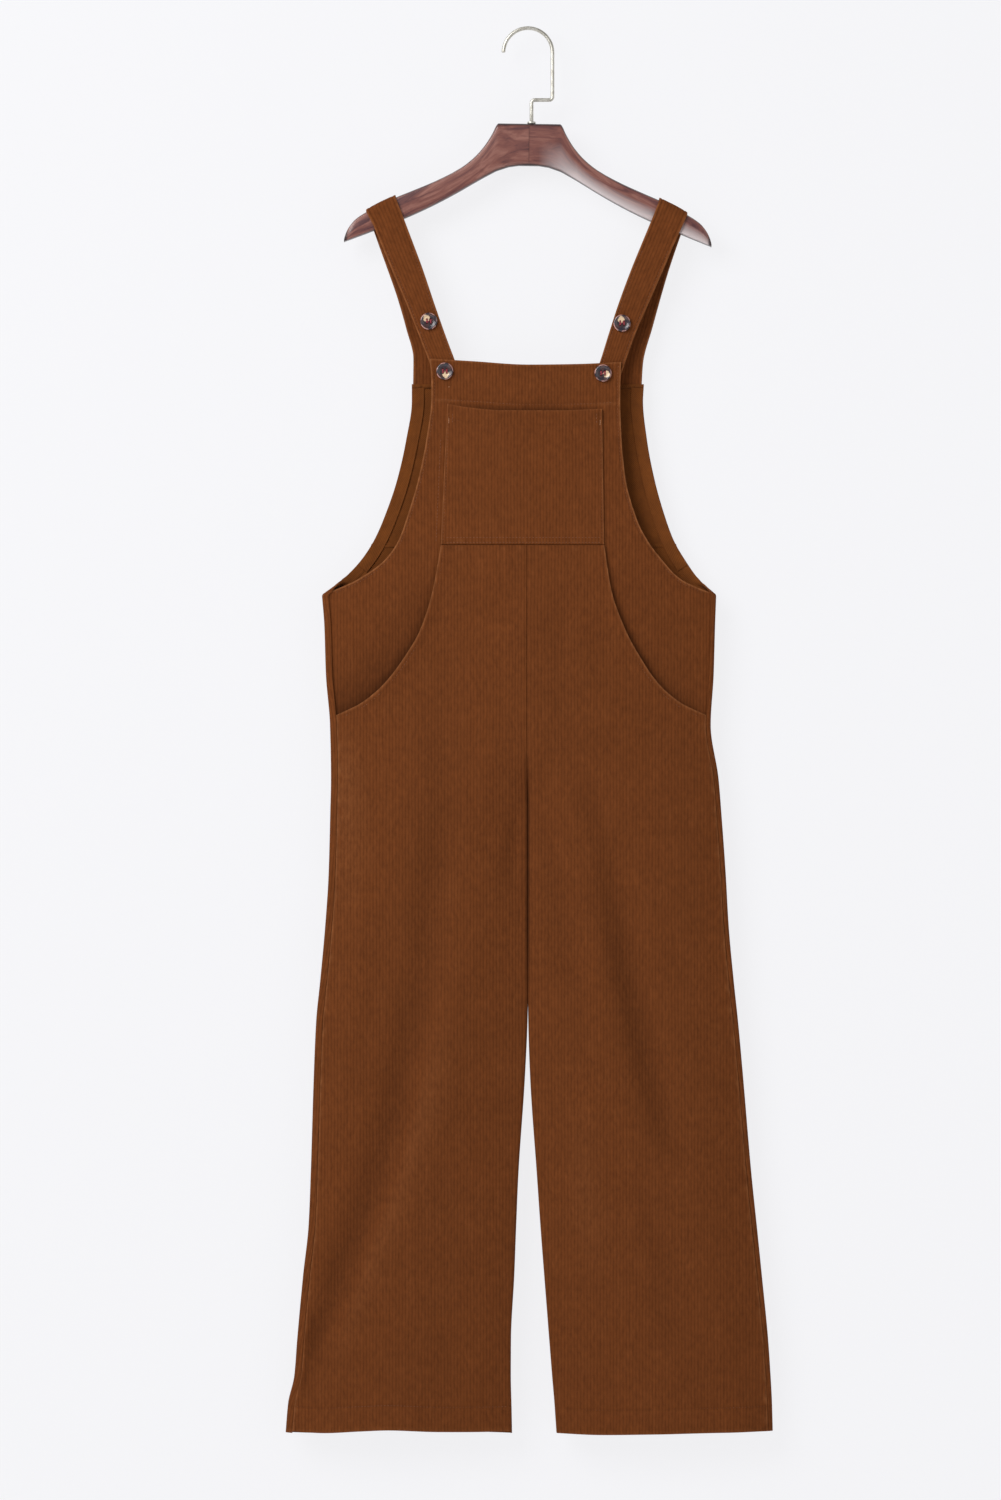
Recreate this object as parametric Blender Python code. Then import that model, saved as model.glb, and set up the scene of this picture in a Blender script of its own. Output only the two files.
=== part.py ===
"""Bib overalls in fine corduroy on a wooden hanger, at real size.

Run it with: blender --background --python part.py

Metres, +Z up. The front faces -Y. In names, left is -X and right is +X, as seen from the front. The
origin is the inside top of the hanger's hook, where a rail carries the whole. Every size below is in
millimetres, and build_mesh turns it into metres. Two height fields, front_y and back_y, say how far the
flattened tube of cloth stands forward and back of the plane of the hanger. Each panel is an outline laid
on one of them, and Solidify gives it its wall.
"""

import math

import bmesh
import bpy
import numpy as np

# Driving sizes, in millimetres.
CLOTH = 1.6             # wall of corduroy
STRAP_CLOTH = 2.4       # a strap is the same cloth folded and stitched flat
FACING_CLOTH = 1.0      # turned edge inside the back's armholes
GAP = 0.3               # between pieces that are sewn together or lie on each other
SLACK = 0.05            # more than the gap, between layers that follow each other all over
LAYER = CLOTH + GAP     # from one lying layer to the next
ROLL = 3.5              # radius that the cloth turns round at a side seam or an inseam
SEAM_INSET = {"left": 7.0, "right": 5.0}    # the side seam lies this far in from the side, on the front

BIB_TOP_Z = -348.0      # at the bib's corners
WAIST_Z = -541.0        # seam under the bib pocket
POCKET_END_Z = -719.0   # where the side pocket's opening meets the side seam
POCKET_GAPE = 1.8       # the opening stands this far forward of the hip
BIB_POCKET_GAPE = 2.2   # and the bib pocket's mouth this far forward of the bib
CROTCH_Z = -824.0
CROTCH_RISE = 84.0      # above the crotch, over which one tube parts into two legs
HIP_END_Z = CROTCH_Z + CROTCH_RISE      # hips and legs are solids of their own, so that each stays simple
BACK_TOP_Z = -373.0     # top of the back, where the straps are sewn on
ARMHOLE_Z = -593.0      # bottom of both armholes, at the side seams
TURN_Z = -575.0         # where the back's flat armhole edge starts to turn round the side
TURN_RUN = 18.0         # and over which height it turns
HEM_Z = -1470.0

HOOK_WIRE = 4.0
HOOK_RADIUS = 25.7      # of the wire's middle
HOOK_JOG_Z = -73.5      # where the wire steps in over the wood
HOOK_BEND = 5.0
HOOK_FOOT_X = 3.7
WOOD_THICK = 14.0
WOOD_RING = 16          # corners of its rounded section
WOOD_TOP_Z = -98.7
WOOD_SHIFT = 2.8        # the hanger hangs a little off centre
WOOD_TILT = 0.0138      # and a little down to the right
WOOD_TIP = 8.0          # its tips get thinner over this length
WOOD_TIP_THICK = 0.75   # to this share of the thickness
WOOD_CLEAR = 0.45       # between the wood and a strap over it

BUTTON_RADIUS = 9.6
BUTTON_HOLE = 1.05      # radius of each of four holes
BUTTON_HOLE_STEP = 2.0  # from the middle to each hole, along both axes
BUTTON_DRILL = 12.0     # longer than a button is deep


def table(columns, *rows):
    """Rows of numbers with named columns."""
    return np.array(list(rows), dtype=[(name, float) for name in columns.split()])


# The flattened garment from the armholes down: side lines and inseams.
SIDES = table(
    "z left left_in right_in right",
    (-593, 215.5, 0.0, 0.0, 196.0),
    (-625, 213.0, 0.0, 0.0, 194.8),
    (-677, 211.3, 0.0, 0.0, 193.3),
    (-730, 207.0, 0.0, 0.0, 190.2),
    (-785, 206.0, 0.0, 0.0, 198.3),
    (-824, 206.8, 0.0, 0.0, 201.5),
    (-887, 208.5, 0.0, 0.0, 206.0),
    (-940, 212.0, 0.1, 0.1, 209.0),
    (-1000, 217.5, 0.5, 0.4, 214.5),
    (-1040, 221.5, 2.6, 2.0, 218.8),
    (-1097, 224.0, 5.2, 3.8, 224.0),
    (-1202, 227.3, 12.2, 11.0, 233.0),
    (-1255, 229.5, 14.5, 14.7, 238.5),
    (-1307, 235.2, 16.5, 18.7, 243.8),
    (-1375, 241.5, 20.0, 24.0, 250.5),
    (-1412, 244.5, 20.2, 27.0, 253.0),
    (-1440, 251.0, 19.5, 29.5, 254.5),
    (-1475, 254.0, 18.8, 32.0, 255.5),
)
# Both armhole edges, from the bib's corners down to the side seams.
ARMHOLES = table(
    "z back_left bib_left bib_right back_right",
    (-348, 121.0, 103.0, 97.7, 120.0),
    (-373, 121.0, 101.2, 96.8, 119.6),
    (-389, 121.0, 101.4, 96.6, 118.8),
    (-430, 127.0, 106.5, 98.0, 123.0),
    (-472, 136.5, 115.0, 102.3, 131.0),
    (-514, 151.0, 127.5, 114.0, 143.0),
    (-536, 161.0, 135.7, 125.0, 151.3),
    (-556, 174.0, 149.5, 140.0, 162.8),
    (-577, 194.0, 178.5, 160.5, 177.8),
    (-593, 215.5, 214.0, 194.5, 196.0),
)
# Opening of the side pockets, the leg front's edge over the bib's hip.
POCKET_CURVE = table(
    "z left right",
    (-541, 91.4, 79.8),
    (-588, 99.8, 87.2),
    (-630, 113.0, 102.0),
    (-660, 130.5, 118.3),
    (-686, 150.5, 136.5),
    (-706, 174.0, 159.5),
    (-719, 200.0, 186.0),
)
BIB_TOP = table("x z", (-103, -347.6), (-60, -350.5), (0, -353.3), (50, -352.0), (98, -349.7))
BIB_POCKET_TOP = table("x z", (-86, -393.0), (-60, -397.5), (-25, -400.3), (30, -400.3), (79, -398.5))
BIB_POCKET_SIDE = table("z left right", (-390, 84.5, 77.6), (-541, 91.4, 79.8))
LEFT_HEM = table("x z", (-254, -1463.5), (-205, -1468.0), (-158, -1466.0), (-83, -1469.5), (-19, -1468.5))
RIGHT_HEM = table("x z", (32, -1468.5), (104, -1471.0), (190, -1469.0), (256, -1465.5))
HEMS = {"left": LEFT_HEM, "right": RIGHT_HEM}
# How far the flattened tube bows out from its side seams.
BOW = table(
    "z front back",
    (-340, 12.6, 8.4),
    (-450, 13.5, 9.0),
    (-541, 15.0, 10.5),
    (-640, 17.0, 12.5),
    (-740, 18.0, 13.5),
    (-824, 15.5, 12.5),
    (-930, 14.0, 12.0),
    (-1100, 13.0, 11.5),
    (-1300, 14.0, 13.0),
    (-1475, 17.0, 16.0),
)
# Soft folds: the line that each follows, its height (a trough is negative) and its half width.
FRONT_FOLDS = (
    table("z x height width", (-800, -89, 0, 26), (-900, -101, -4.5, 26), (-1070, -124, -5.0, 28),
          (-1230, -173, -4.5, 26), (-1330, -208, -3.0, 24), (-1440, -232, 0, 22)),
    table("z x height width", (-880, -66, 0, 30), (-980, -74, 3.5, 30), (-1180, -112, 3.5, 34),
          (-1420, -150, 0, 34)),
    table("z x height width", (-930, -186, 0, 24), (-1060, -190, 3.0, 24), (-1190, -206, 0, 22)),
    table("z x height width", (-790, 62, 0, 24), (-870, 90, -3.5, 24), (-980, 105, -4.5, 26),
          (-1090, 135, -3.5, 28), (-1230, 165, 0, 28)),
    table("z x height width", (-960, 132, 0, 26), (-1100, 165, 3.5, 28), (-1300, 196, 2.5, 30),
          (-1475, 215, 3.0, 30)),
    table("z x height width", (-880, 12, 0, 20), (-960, 36, -2.5, 22), (-1060, 70, 0, 24)),
    table("z x height width", (-1230, 92, 0, 30), (-1380, 98, -3.0, 32), (-1475, 102, -4.0, 34)),
    table("z x height width", (-1300, -75, 0, 28), (-1400, -88, -3.0, 30), (-1475, -96, -4.0, 32)),
)
BACK_FOLDS = (
    table("z x height width", (-800, -120, 0, 28), (-960, -112, -4.5, 28), (-1150, -120, -4.5, 30),
          (-1380, -150, 0, 30)),
    table("z x height width", (-860, -60, 0, 30), (-1050, -62, 3.5, 32), (-1300, -70, 0, 34)),
    table("z x height width", (-790, 118, 0, 28), (-930, 108, -4.0, 28), (-1120, 124, -4.5, 30),
          (-1340, 160, 0, 30)),
    table("z x height width", (-900, 50, 0, 30), (-1080, 62, 3.5, 32), (-1330, 84, 0, 34)),
    table("z x height width", (-1260, -120, 0, 30), (-1400, -122, 3.0, 32), (-1475, -124, 4.5, 34)),
    table("z x height width", (-1240, 130, 0, 30), (-1400, 138, 3.5, 32), (-1475, 142, 4.5, 34)),
)
# A strap's edges, in front from behind the bib up to the hanger, and down the back to its seam.
STRAP_FRONT = {
    "left": table("z outer inner", (-385, 91, 62), (-348, 104, 76.5), (-320, 115, 87), (-290, 127, 97.5),
                  (-250, 144, 111), (-214, 159, 124.5)),
    "right": table("z outer inner", (-385, 90, 62), (-348, 102.5, 75.7), (-320, 112.5, 84.5),
                   (-290, 125.5, 94.2), (-250, 143, 109), (-216, 157, 123)),
}
STRAP_BACK = {
    "left": table("z outer inner", (-373, 120.8, 88.5), (-345, 120.5, 88.5), (-313, 128, 95.5),
                  (-280, 137.5, 104.5), (-247, 149, 115.5), (-214, 161, 127.5)),
    "right": table("z outer inner", (-373, 119.6, 87.5), (-350, 121, 88.5), (-310, 131.5, 98.5),
                   (-257, 146.5, 113), (-216, 160, 126)),
}
STRAP_FOLD = {"left": (170.0, 139.5), "right": (167.0, 137.5)}      # outer and inner edge on the wood's top
# Half of the hanger's wood, which is the same on both sides of its middle.
WOOD = table(
    "reach top under",
    (0, -98.7, -142.9),
    (17, -98.7, -144.5),
    (32.5, -98.7, -149.3),
    (35, -101.5, -150.3),
    (37.5, -107.0, -151.6),
    (41, -113.5, -153.4),
    (47, -122.8, -156.6),
    (57, -134.4, -162.3),
    (72, -146.4, -171.2),
    (95, -158.9, -184.0),
    (120, -169.9, -196.3),
    (138, -177.4, -204.2),
    (155, -185.6, -211.0),
    (170, -193.8, -217.0),
    (181, -201.3, -221.2),
    (188, -210.0, -223.8),
    (191.5, -217.5, -225.0),
    (192.8, -222.5, -225.6),
)
COLLAR_PROFILE = table("out rise", (0.0, 0.0), (2.0, 0.0), (2.4, 0.8), (1.6, 1.8), (0.0, 2.2))
BUTTONS = table(
    "x z",
    (-104.0, -306.6),
    (98.5, -308.7),
    (-87.2, -359.1),
    (78.5, -361.2),
)
BUTTON_NAMES = ("button_strap_left", "button_strap_right", "button_bib_left", "button_bib_right")
BUTTON_PROFILE = table(
    "radius rise",
    (8.2, 0.0),
    (9.3, 0.7),
    (BUTTON_RADIUS, 1.8),
    (9.1, 2.9),
    (8.2, 3.3),
    (7.1, 2.9),
    (6.1, 2.3),
)

# Grid rows, top to bottom, closer together where an edge runs nearly level.
BODICE_ROWS = (BACK_TOP_Z - GAP / 2, -395, -420, -446, -472, -496, -518, -530, WAIST_Z + GAP / 2)
BACK_HIP_ROWS = (WAIST_Z - GAP / 2, -550, -562, -571, -577, -581.5, -585.5, -589.5)
HIP_ROWS = (-593, -601, -625, -660, -690, -719, HIP_END_Z + GAP / 2)
LEG_ROWS = (HIP_END_Z - GAP / 2, -755, -770, -790, -808, -824, -845, -875, -910, -945, -980, -1019, -1058, -1097,
            -1137, -1177, -1215, -1255, -1300, -1345, -1390, -1430)
POCKET_ROWS = (WAIST_Z - GAP / 2, -565, -590, -615, -640, -660, -678, -693, -704, -713, POCKET_END_Z)
BIB_ROWS = (-372, -395, -420, -446, -472, -496, -518, -536, -550, -561, -570, -578, -585, -593)
BIB_HIDDEN_ROWS = (-625, -660, -690, -719, -738)
BIB_SPLIT_Z = -536.0    # below this row the bib's hidden lower edge is drawn up in its middle
BIB_HIDDEN_MIDDLE = 0.3     # to this share of its drop at the sides
BIB_HIDDEN_FLAT = 0.1       # over this share of its half width, then it drops
BIB_HIDDEN_SLOPE = 0.65     # over this share
PANEL_COLUMNS = 9       # across a leg, without the columns that turn round its edges
BIB_COLUMNS = 19
BIB_POCKET_GRID = (9, 10)   # rows and columns
STRAP_COLUMNS = 3
COLLAR_SIDES = 14
BUTTON_SIDES = 20
STRAP_FRONT_ROWS = (-385, -366, -348, -334, -320, -305, -290, -270, -250, -232)
STRAP_BACK_ROWS = (-232, -250, -270, -295, -320, -345, BACK_TOP_Z + GAP / 2)
FACING_ROWS = (BACK_TOP_Z - 1, -400, -430, -460, -490, -515, -534, -549, -561)
FACING_INSETS = (13.0, 7.0, 0.8)    # from the armhole's edge to the strip's columns


def smooth(xs, ys, x):
    """Value at x of a cubic through the points that never overshoots them."""
    if xs[0] > xs[-1]:
        xs, ys = xs[::-1], ys[::-1]
    if x <= xs[0]:
        return float(ys[0])
    if x >= xs[-1]:
        return float(ys[-1])
    steps = np.diff(xs)
    slopes = np.diff(ys) / steps
    bends = np.zeros(len(xs))
    bends[0], bends[-1] = slopes[0], slopes[-1]
    for i in range(1, len(xs) - 1):
        if slopes[i - 1] * slopes[i] > 0:
            bends[i] = 2 * slopes[i - 1] * slopes[i] / (slopes[i - 1] + slopes[i])
    i = int(np.searchsorted(xs, x)) - 1
    t = (x - xs[i]) / steps[i]
    lift = (2 * t + 1) * (1 - t) ** 2 * ys[i] + t * t * (3 - 2 * t) * ys[i + 1]
    turn = t * (1 - t) * ((1 - t) * bends[i] - t * bends[i + 1]) * steps[i]
    return float(lift + turn)


def read(rows, name, at, along="z"):
    """Column name of a table at a height, or at another place along it."""
    return smooth(rows[along], rows[name], at)


def ease(t):
    """0 to 1 with soft ends, clipped outside."""
    t = min(1.0, max(0.0, t))
    return t * t * (3 - 2 * t)


def side_of(x):
    return "left" if x < 0 else "right"


def side_reach(z, side):
    """How far the side line lies from the middle."""
    return read(SIDES, side, z)


def inseam_reach(z, side):
    return read(SIDES, side + "_in", z)


def seam_reach(z, side):
    """How far the side seam lies from the middle."""
    return side_reach(z, side) - SEAM_INSET[side]


def parted(z):
    """0 where the cloth is one tube round both legs, 1 from the crotch down."""
    return ease((HIP_END_Z - z) / CROTCH_RISE)


def across(x, z):
    """Place across one half of the garment: 0 at the middle or inseam, 1 where the cloth turns back."""
    side = side_of(x)
    inner = inseam_reach(z, side)
    outer = side_reach(z, side) - ROLL
    return min(1.0, max(0.0, (abs(x) - inner) / (outer - inner)))


def bow(x, z, face):
    """How far the cloth stands out from the flat at a place on the front or the back."""
    s = across(x, z)
    w = parted(z)
    return read(BOW, face, z) * ((1 - w) * (1 - s * s) + w * 4 * s * (1 - s))


def fold_height(x, z, folds):
    """Sum of the soft folds at a place, faded out towards both edges of the leg."""
    s = across(x, z)
    fade = ease(6 * (1 - s)) * ease(6 * s if parted(z) > 0.5 else 1.0)
    total = 0.0
    for fold in folds:
        top, end = fold["z"][0], fold["z"][-1]
        if end <= z <= top:
            away = (x - read(fold, "x", z)) / read(fold, "width", z)
            total += read(fold, "height", z) * math.exp(-away * away)
    return total * fade


def front_y(x, z):
    """Outer face of the leg fronts and of the bib pocket."""
    return -(ROLL + bow(x, z, "front") + fold_height(x, z, FRONT_FOLDS))


def bib_y(x, z):
    """Outer face of the bib, one layer behind the leg fronts."""
    return front_y(x, z) + LAYER


def back_y(x, z):
    """Outer face of the back."""
    return ROLL + bow(x, z, "back") + fold_height(x, z, BACK_FOLDS)


def hem_z(x, side):
    return read(HEMS[side], "z", x, "x")


def material(name, colour, roughness, metallic):
    """Principled material of one colour, given as linear red, green and blue."""
    made = bpy.data.materials.new(name)
    made.use_nodes = True
    shader = made.node_tree.nodes["Principled BSDF"]
    shader.inputs["Base Color"].default_value = (*colour, 1.0)
    shader.inputs["Roughness"].default_value = roughness
    shader.inputs["Metallic"].default_value = metallic
    return made


def build_mesh(name, points, faces, finish):
    """Object from points in millimetres and faces."""
    mesh = bpy.data.meshes.new(name)
    mesh.from_pydata([tuple(0.001 * c for c in point) for point in points], [], faces)
    mesh.materials.append(finish)
    mesh.shade_smooth()
    thing = bpy.data.objects.new(name, mesh)
    bpy.context.scene.collection.objects.link(thing)
    return thing


def grid_faces(rows, columns, flip):
    """Quads of a grid whose rows run down and columns run to +X; they face -Y unless flipped."""
    faces = []
    for i in range(rows - 1):
        for j in range(columns - 1):
            a, b = i * columns + j, (i + 1) * columns + j
            quad = (a, b, b + 1, a + 1)
            faces.append(quad[::-1] if flip else quad)
    return faces


def cloth(name, grid, wall, finish, faces_back=False):
    """A wall of cloth: the grid is its outer face, and Solidify lays the wall inside it."""
    rows, columns = len(grid), len(grid[0])
    points = [point for row in grid for point in row]
    piece = build_mesh(name, points, grid_faces(rows, columns, faces_back), finish)
    wall_modifier = piece.modifiers.new("wall", "SOLIDIFY")
    wall_modifier.thickness = 0.001 * wall
    wall_modifier.offset = -1.0
    return piece


def rolled_edge(turn, full_angle, tail, steps):
    """Steps along an edge strip that turns round ROLL, from lying flat (turn 0) to turned (turn 1).

    Gives pairs (out, in): how far each step lies beyond the strip's start, and how far it has turned in.
    The tail is a straight end after the turn.
    """
    length = full_angle * ROLL
    pairs = []
    for k in range(1, steps + 1):
        run = length * k / steps
        if turn < 1e-3:
            pairs.append((run, 0.0))
        else:
            angle = turn * run / ROLL
            pairs.append((ROLL / turn * math.sin(angle), ROLL / turn * (1 - math.cos(angle))))
    if tail:
        angle = turn * full_angle
        out, into = pairs[-1]
        pairs.append((out + tail * math.cos(angle), into + tail * math.sin(angle)))
    return pairs


def inner_strip(z):
    """The strip beside the centre seam, which turns in to be the inseam below the crotch."""
    return rolled_edge(parted(z), math.pi / 2, 0.0, 2)


def leg_section(z, side, face, reach):
    """Outer points of a half of the garment at height z, from the centre seam or inseam out to a reach."""
    sign = -1 if side == "left" else 1
    height = front_y if face == "front" else back_y
    strip = inner_strip(z)
    start = inseam_reach(z, side) + GAP / 2 + max(out for out, _ in strip)
    points = []
    for out, into in reversed(strip):
        x = start - out
        y = height(sign * start, z) if parted(z) > 0 else height(sign * x, z)
        toward = y + into if face == "front" else y - into
        if face == "front":
            toward = min(toward, -GAP / 2)
        else:
            toward = max(toward, GAP / 2)
        points.append((sign * x, toward, z))
    for k in range(PANEL_COLUMNS):
        x = start + (reach - start) * k / (PANEL_COLUMNS - 1)
        points.append((sign * x, height(sign * x, z), z))
    return points


def gape(points, t):
    """Row of a leg front whose pocket edge stands forward of the hip, most in the middle of its opening."""
    rise = POCKET_GAPE * math.sin(math.pi * t)
    last = len(points) - 1
    return [(x, y - rise * (k / last) ** 6, z) for k, (x, y, z) in enumerate(points)]


def settle_hem(points, side):
    """Last row of a leg, moved down onto the hem's line."""
    return [(x, y, hem_z(x, side)) for x, y, _ in points]


def half_cloth(name, rows, side, finish, faces_back=False):
    """Piece of one half of the garment from its rows of points."""
    if side == "left":
        rows = [row[::-1] for row in rows]
    return cloth(name + side, rows, CLOTH, finish, faces_back)


def front_hip(side, finish):
    """Leg front from the waist seam to the crotch's height: its outer edge is the pocket's opening."""
    rows = []
    for z in POCKET_ROWS:
        points = leg_section(z, side, "front", read(POCKET_CURVE, side, z))
        rows.append(gape(points, (POCKET_ROWS[0] - z) / (POCKET_ROWS[0] - POCKET_ROWS[-1])))
    end = HIP_ROWS[-1]
    rows.append(leg_section(end, side, "front", seam_reach(end, side) - GAP / 2))
    return half_cloth("front_hip_", rows, side, finish)


def front_leg(side, finish):
    """The rest of the leg front, down to the hem."""
    rows = [leg_section(z, side, "front", seam_reach(z, side) - GAP / 2) for z in LEG_ROWS + (HEM_Z,)]
    rows[-1] = settle_hem(rows[-1], side)
    return half_cloth("front_leg_", rows, side, finish)


def side_turn(z):
    """1 where the back wraps round the side to its seam, 0 up the armhole, where its edge is flat."""
    return ease((TURN_Z - z) / TURN_RUN)


def back_edge_reach(z, side):
    """Outermost reach of the back: the armhole edge, and the side line below it."""
    if z > ARMHOLE_Z:
        return read(ARMHOLES, "back_" + side, z)
    return side_reach(z, side)


def back_section(z, side):
    """Outer points of a back half at height z, round the side to the seam on the front."""
    sign = -1 if side == "left" else 1
    tail = SEAM_INSET[side] - ROLL - GAP / 2
    strip = rolled_edge(side_turn(z), math.pi, tail, 3)
    start = back_edge_reach(z, side) - max(out for out, _ in strip)
    points = leg_section(z, side, "back", start)
    for out, into in strip:
        x = start + out
        y = back_y(sign * x, z) - into
        if into > 1.99 * ROLL:
            y = min(y, front_y(sign * x, z))
        points.append((sign * x, y, z))
    return points


def back_bodice(side, finish):
    """Upper half back, from the straps' seam to the waist seam."""
    rows = [back_section(z, side) for z in BODICE_ROWS]
    return half_cloth("back_bodice_", rows, side, finish, faces_back=True)


def back_hip(side, finish):
    """Lower half back from the waist seam to the crotch's height."""
    rows = [back_section(z, side) for z in BACK_HIP_ROWS + HIP_ROWS]
    return half_cloth("back_hip_", rows, side, finish, faces_back=True)


def back_leg(side, finish):
    """The rest of the lower half back, down to the hem."""
    rows = [back_section(z, side) for z in LEG_ROWS + (HEM_Z,)]
    rows[-1] = settle_hem(rows[-1], side)
    return half_cloth("back_leg_", rows, side, finish, faces_back=True)


def bib_edge(z, side):
    """Reach of the bib: the armhole edge, then just under the wrapped edge of the back."""
    if z > ARMHOLE_Z:
        return min(read(ARMHOLES, "bib_" + side, z), seam_reach(z, side) + 1.0)
    return seam_reach(z, side) + 1.0


def bib_drop(u):
    """Share of its full drop that the bib's hidden lower edge has, at a share of the bib's width."""
    side = ease((abs(2 * u - 1) - BIB_HIDDEN_FLAT) / BIB_HIDDEN_SLOPE)
    return BIB_HIDDEN_MIDDLE + (1 - BIB_HIDDEN_MIDDLE) * side


def bib_pocket_x(u, z):
    """Place across the bib pocket, from its left side at 0 to its right side at 1."""
    return -read(BIB_POCKET_SIDE, "left", z) * (1 - u) + read(BIB_POCKET_SIDE, "right", z) * u


def bib_front(finish):
    """Bib and hips in one piece, down behind the leg fronts as the back of the side pockets."""
    rows = []
    for level in (None,) + BIB_ROWS + BIB_HIDDEN_ROWS:
        row = []
        for j in range(BIB_COLUMNS):
            u = j / (BIB_COLUMNS - 1)
            if level is None:
                x = -bib_edge(BIB_TOP_Z, "left") * (1 - u) + bib_edge(BIB_TOP_Z, "right") * u
                z = read(BIB_TOP, "z", x, "x")
            else:
                z = level if level >= BIB_SPLIT_Z else BIB_SPLIT_Z + (level - BIB_SPLIT_Z) * bib_drop(u)
                x = -bib_edge(z, "left") * (1 - u) + bib_edge(z, "right") * u
            row.append((x, bib_y(x, z), z))
        rows.append(row)
    return cloth("bib_front", rows, CLOTH, finish)


def bib_pocket(finish):
    """Patch pocket on the bib, down to the waist seam; its mouth stands a little forward."""
    rows, columns = BIB_POCKET_GRID
    grid = []
    for i in range(rows):
        v = i / (rows - 1)
        row = []
        for j in range(columns):
            u = j / (columns - 1)
            top = read(BIB_POCKET_TOP, "z", bib_pocket_x(u, BIB_TOP_Z), "x")
            z = top * (1 - v) + (WAIST_Z + GAP / 2) * v
            x = bib_pocket_x(u, z)
            mouth = BIB_POCKET_GAPE * math.sin(math.pi * u) * ease(1 - v * 3)
            row.append((x, front_y(x, z) - mouth, z))
        grid.append(row)
    return cloth("bib_pocket", grid, CLOTH, finish)


def facing(side, finish):
    """Turned strip inside the back's armhole edge."""
    sign = -1 if side == "left" else 1
    grid = []
    for z in FACING_ROWS:
        reach = read(ARMHOLES, "back_" + side, z)
        slope = (read(ARMHOLES, "back_" + side, z - 1) - read(ARMHOLES, "back_" + side, z + 1)) / 2
        length = math.hypot(1, slope)
        row = []
        for inset in FACING_INSETS:
            x = sign * (reach - inset / length)
            low = z - inset * slope / length
            row.append((x, back_y(x, low) - LAYER - SLACK, min(low, FACING_ROWS[0])))
        grid.append(row if side == "right" else row[::-1])
    return cloth("back_facing_" + side, grid, FACING_CLOTH, finish, faces_back=True)


def wood_place(x, z):
    """Place of a point of the hanger's wood, which hangs a little tilted."""
    return x + WOOD_SHIFT + WOOD_TILT * z, z - WOOD_TILT * x


def read_straight(rows, name, reach):
    """Column of the wood's table, straight between its rows, as its faces are."""
    return float(np.interp(reach, rows["reach"], rows[name]))


def wood_ring(x, out=0.0):
    """Rounded section of the wood at x before it is tilted, moved out by a distance: (depth, height) pairs.

    The points run from the back over the top to the front and round underneath.
    """
    top, under = read_straight(WOOD, "top", abs(x)), read_straight(WOOD, "under", abs(x))
    body = ease((WOOD["reach"][-1] - abs(x)) / WOOD_TIP)
    thick = WOOD_THICK / 2 * (WOOD_TIP_THICK + (1 - WOOD_TIP_THICK) * body)
    rim = []
    for k in range(WOOD_RING):
        angle = 2 * math.pi * (k + 0.5) / WOOD_RING
        c, s = math.cos(angle), math.sin(angle)
        rim.append((thick * math.copysign(abs(c) ** 0.5, c),
                    (top + under) / 2 + (top - under) / 2 * math.copysign(abs(s) ** 0.5, s)))
    if out == 0.0:
        return rim
    moved = []
    for k, (y, z) in enumerate(rim):
        (y0, z0), (y1, z1) = rim[k - 1], rim[(k + 1) % WOOD_RING]
        before, after = math.hypot(y - y0, z - z0), math.hypot(y1 - y, z1 - z)
        ny = (z - z0) / before + (z1 - z) / after
        nz = -(y - y0) / before - (y1 - y) / after
        spread = out * 2 / (ny * ny + nz * nz)
        moved.append((y + ny * spread, z + nz * spread))
    return moved


def neck_top():
    """Height of the wood's flat top at the hook's foot."""
    return wood_place(HOOK_FOOT_X - WOOD_SHIFT, max(z for _, z in wood_ring(0.0)))[1]


def hanger_wood(finish):
    """Wooden arms and neck: a rounded section at each station from tip to tip."""
    stations = [-row["reach"] for row in WOOD[::-1]] + [row["reach"] for row in WOOD[1:]]
    points, faces = [], []
    for x in stations:
        for y, z in wood_ring(x):
            px, pz = wood_place(x, z)
            points.append((px, y, pz))
    for i in range(len(stations) - 1):
        for k in range(WOOD_RING):
            a, b = i * WOOD_RING + k, i * WOOD_RING + (k + 1) % WOOD_RING
            faces.append((a, b, b + WOOD_RING, a + WOOD_RING))
    faces.append(tuple(range(WOOD_RING))[::-1])
    faces.append(tuple(range(len(points) - WOOD_RING, len(points))))
    wood = build_mesh("hanger_wood", points, faces, finish)
    face_out(wood)
    return wood


def face_out(thing):
    """Turns every face of a closed mesh outward."""
    shape = bmesh.new()
    shape.from_mesh(thing.data)
    bmesh.ops.recalc_face_normals(shape, faces=shape.faces)
    shape.to_mesh(thing.data)
    shape.free()


def hook_line():
    """Middle of the hook's wire: half a turn, a straight shank and a step in to the wood."""
    line = []
    centre_z = HOOK_WIRE / 2 - HOOK_RADIUS
    for k in range(19):
        angle = math.pi * (1 - k / 18)
        line.append((HOOK_RADIUS * math.cos(angle), centre_z + HOOK_RADIUS * math.sin(angle)))
    corner_x = HOOK_RADIUS - HOOK_BEND
    for k in range(6):
        angle = math.pi / 2 * k / 5
        line.append((corner_x + HOOK_BEND * math.cos(angle),
                     HOOK_JOG_Z + HOOK_BEND - HOOK_BEND * math.sin(angle)))
    corner_x = HOOK_FOOT_X + HOOK_BEND
    for k in range(6):
        angle = math.pi / 2 * (1 + k / 5)
        line.append((corner_x + HOOK_BEND * math.cos(angle),
                     HOOK_JOG_Z - HOOK_BEND + HOOK_BEND * math.sin(angle)))
    line.append((HOOK_FOOT_X, neck_top() + GAP + SLACK))
    return line


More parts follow.
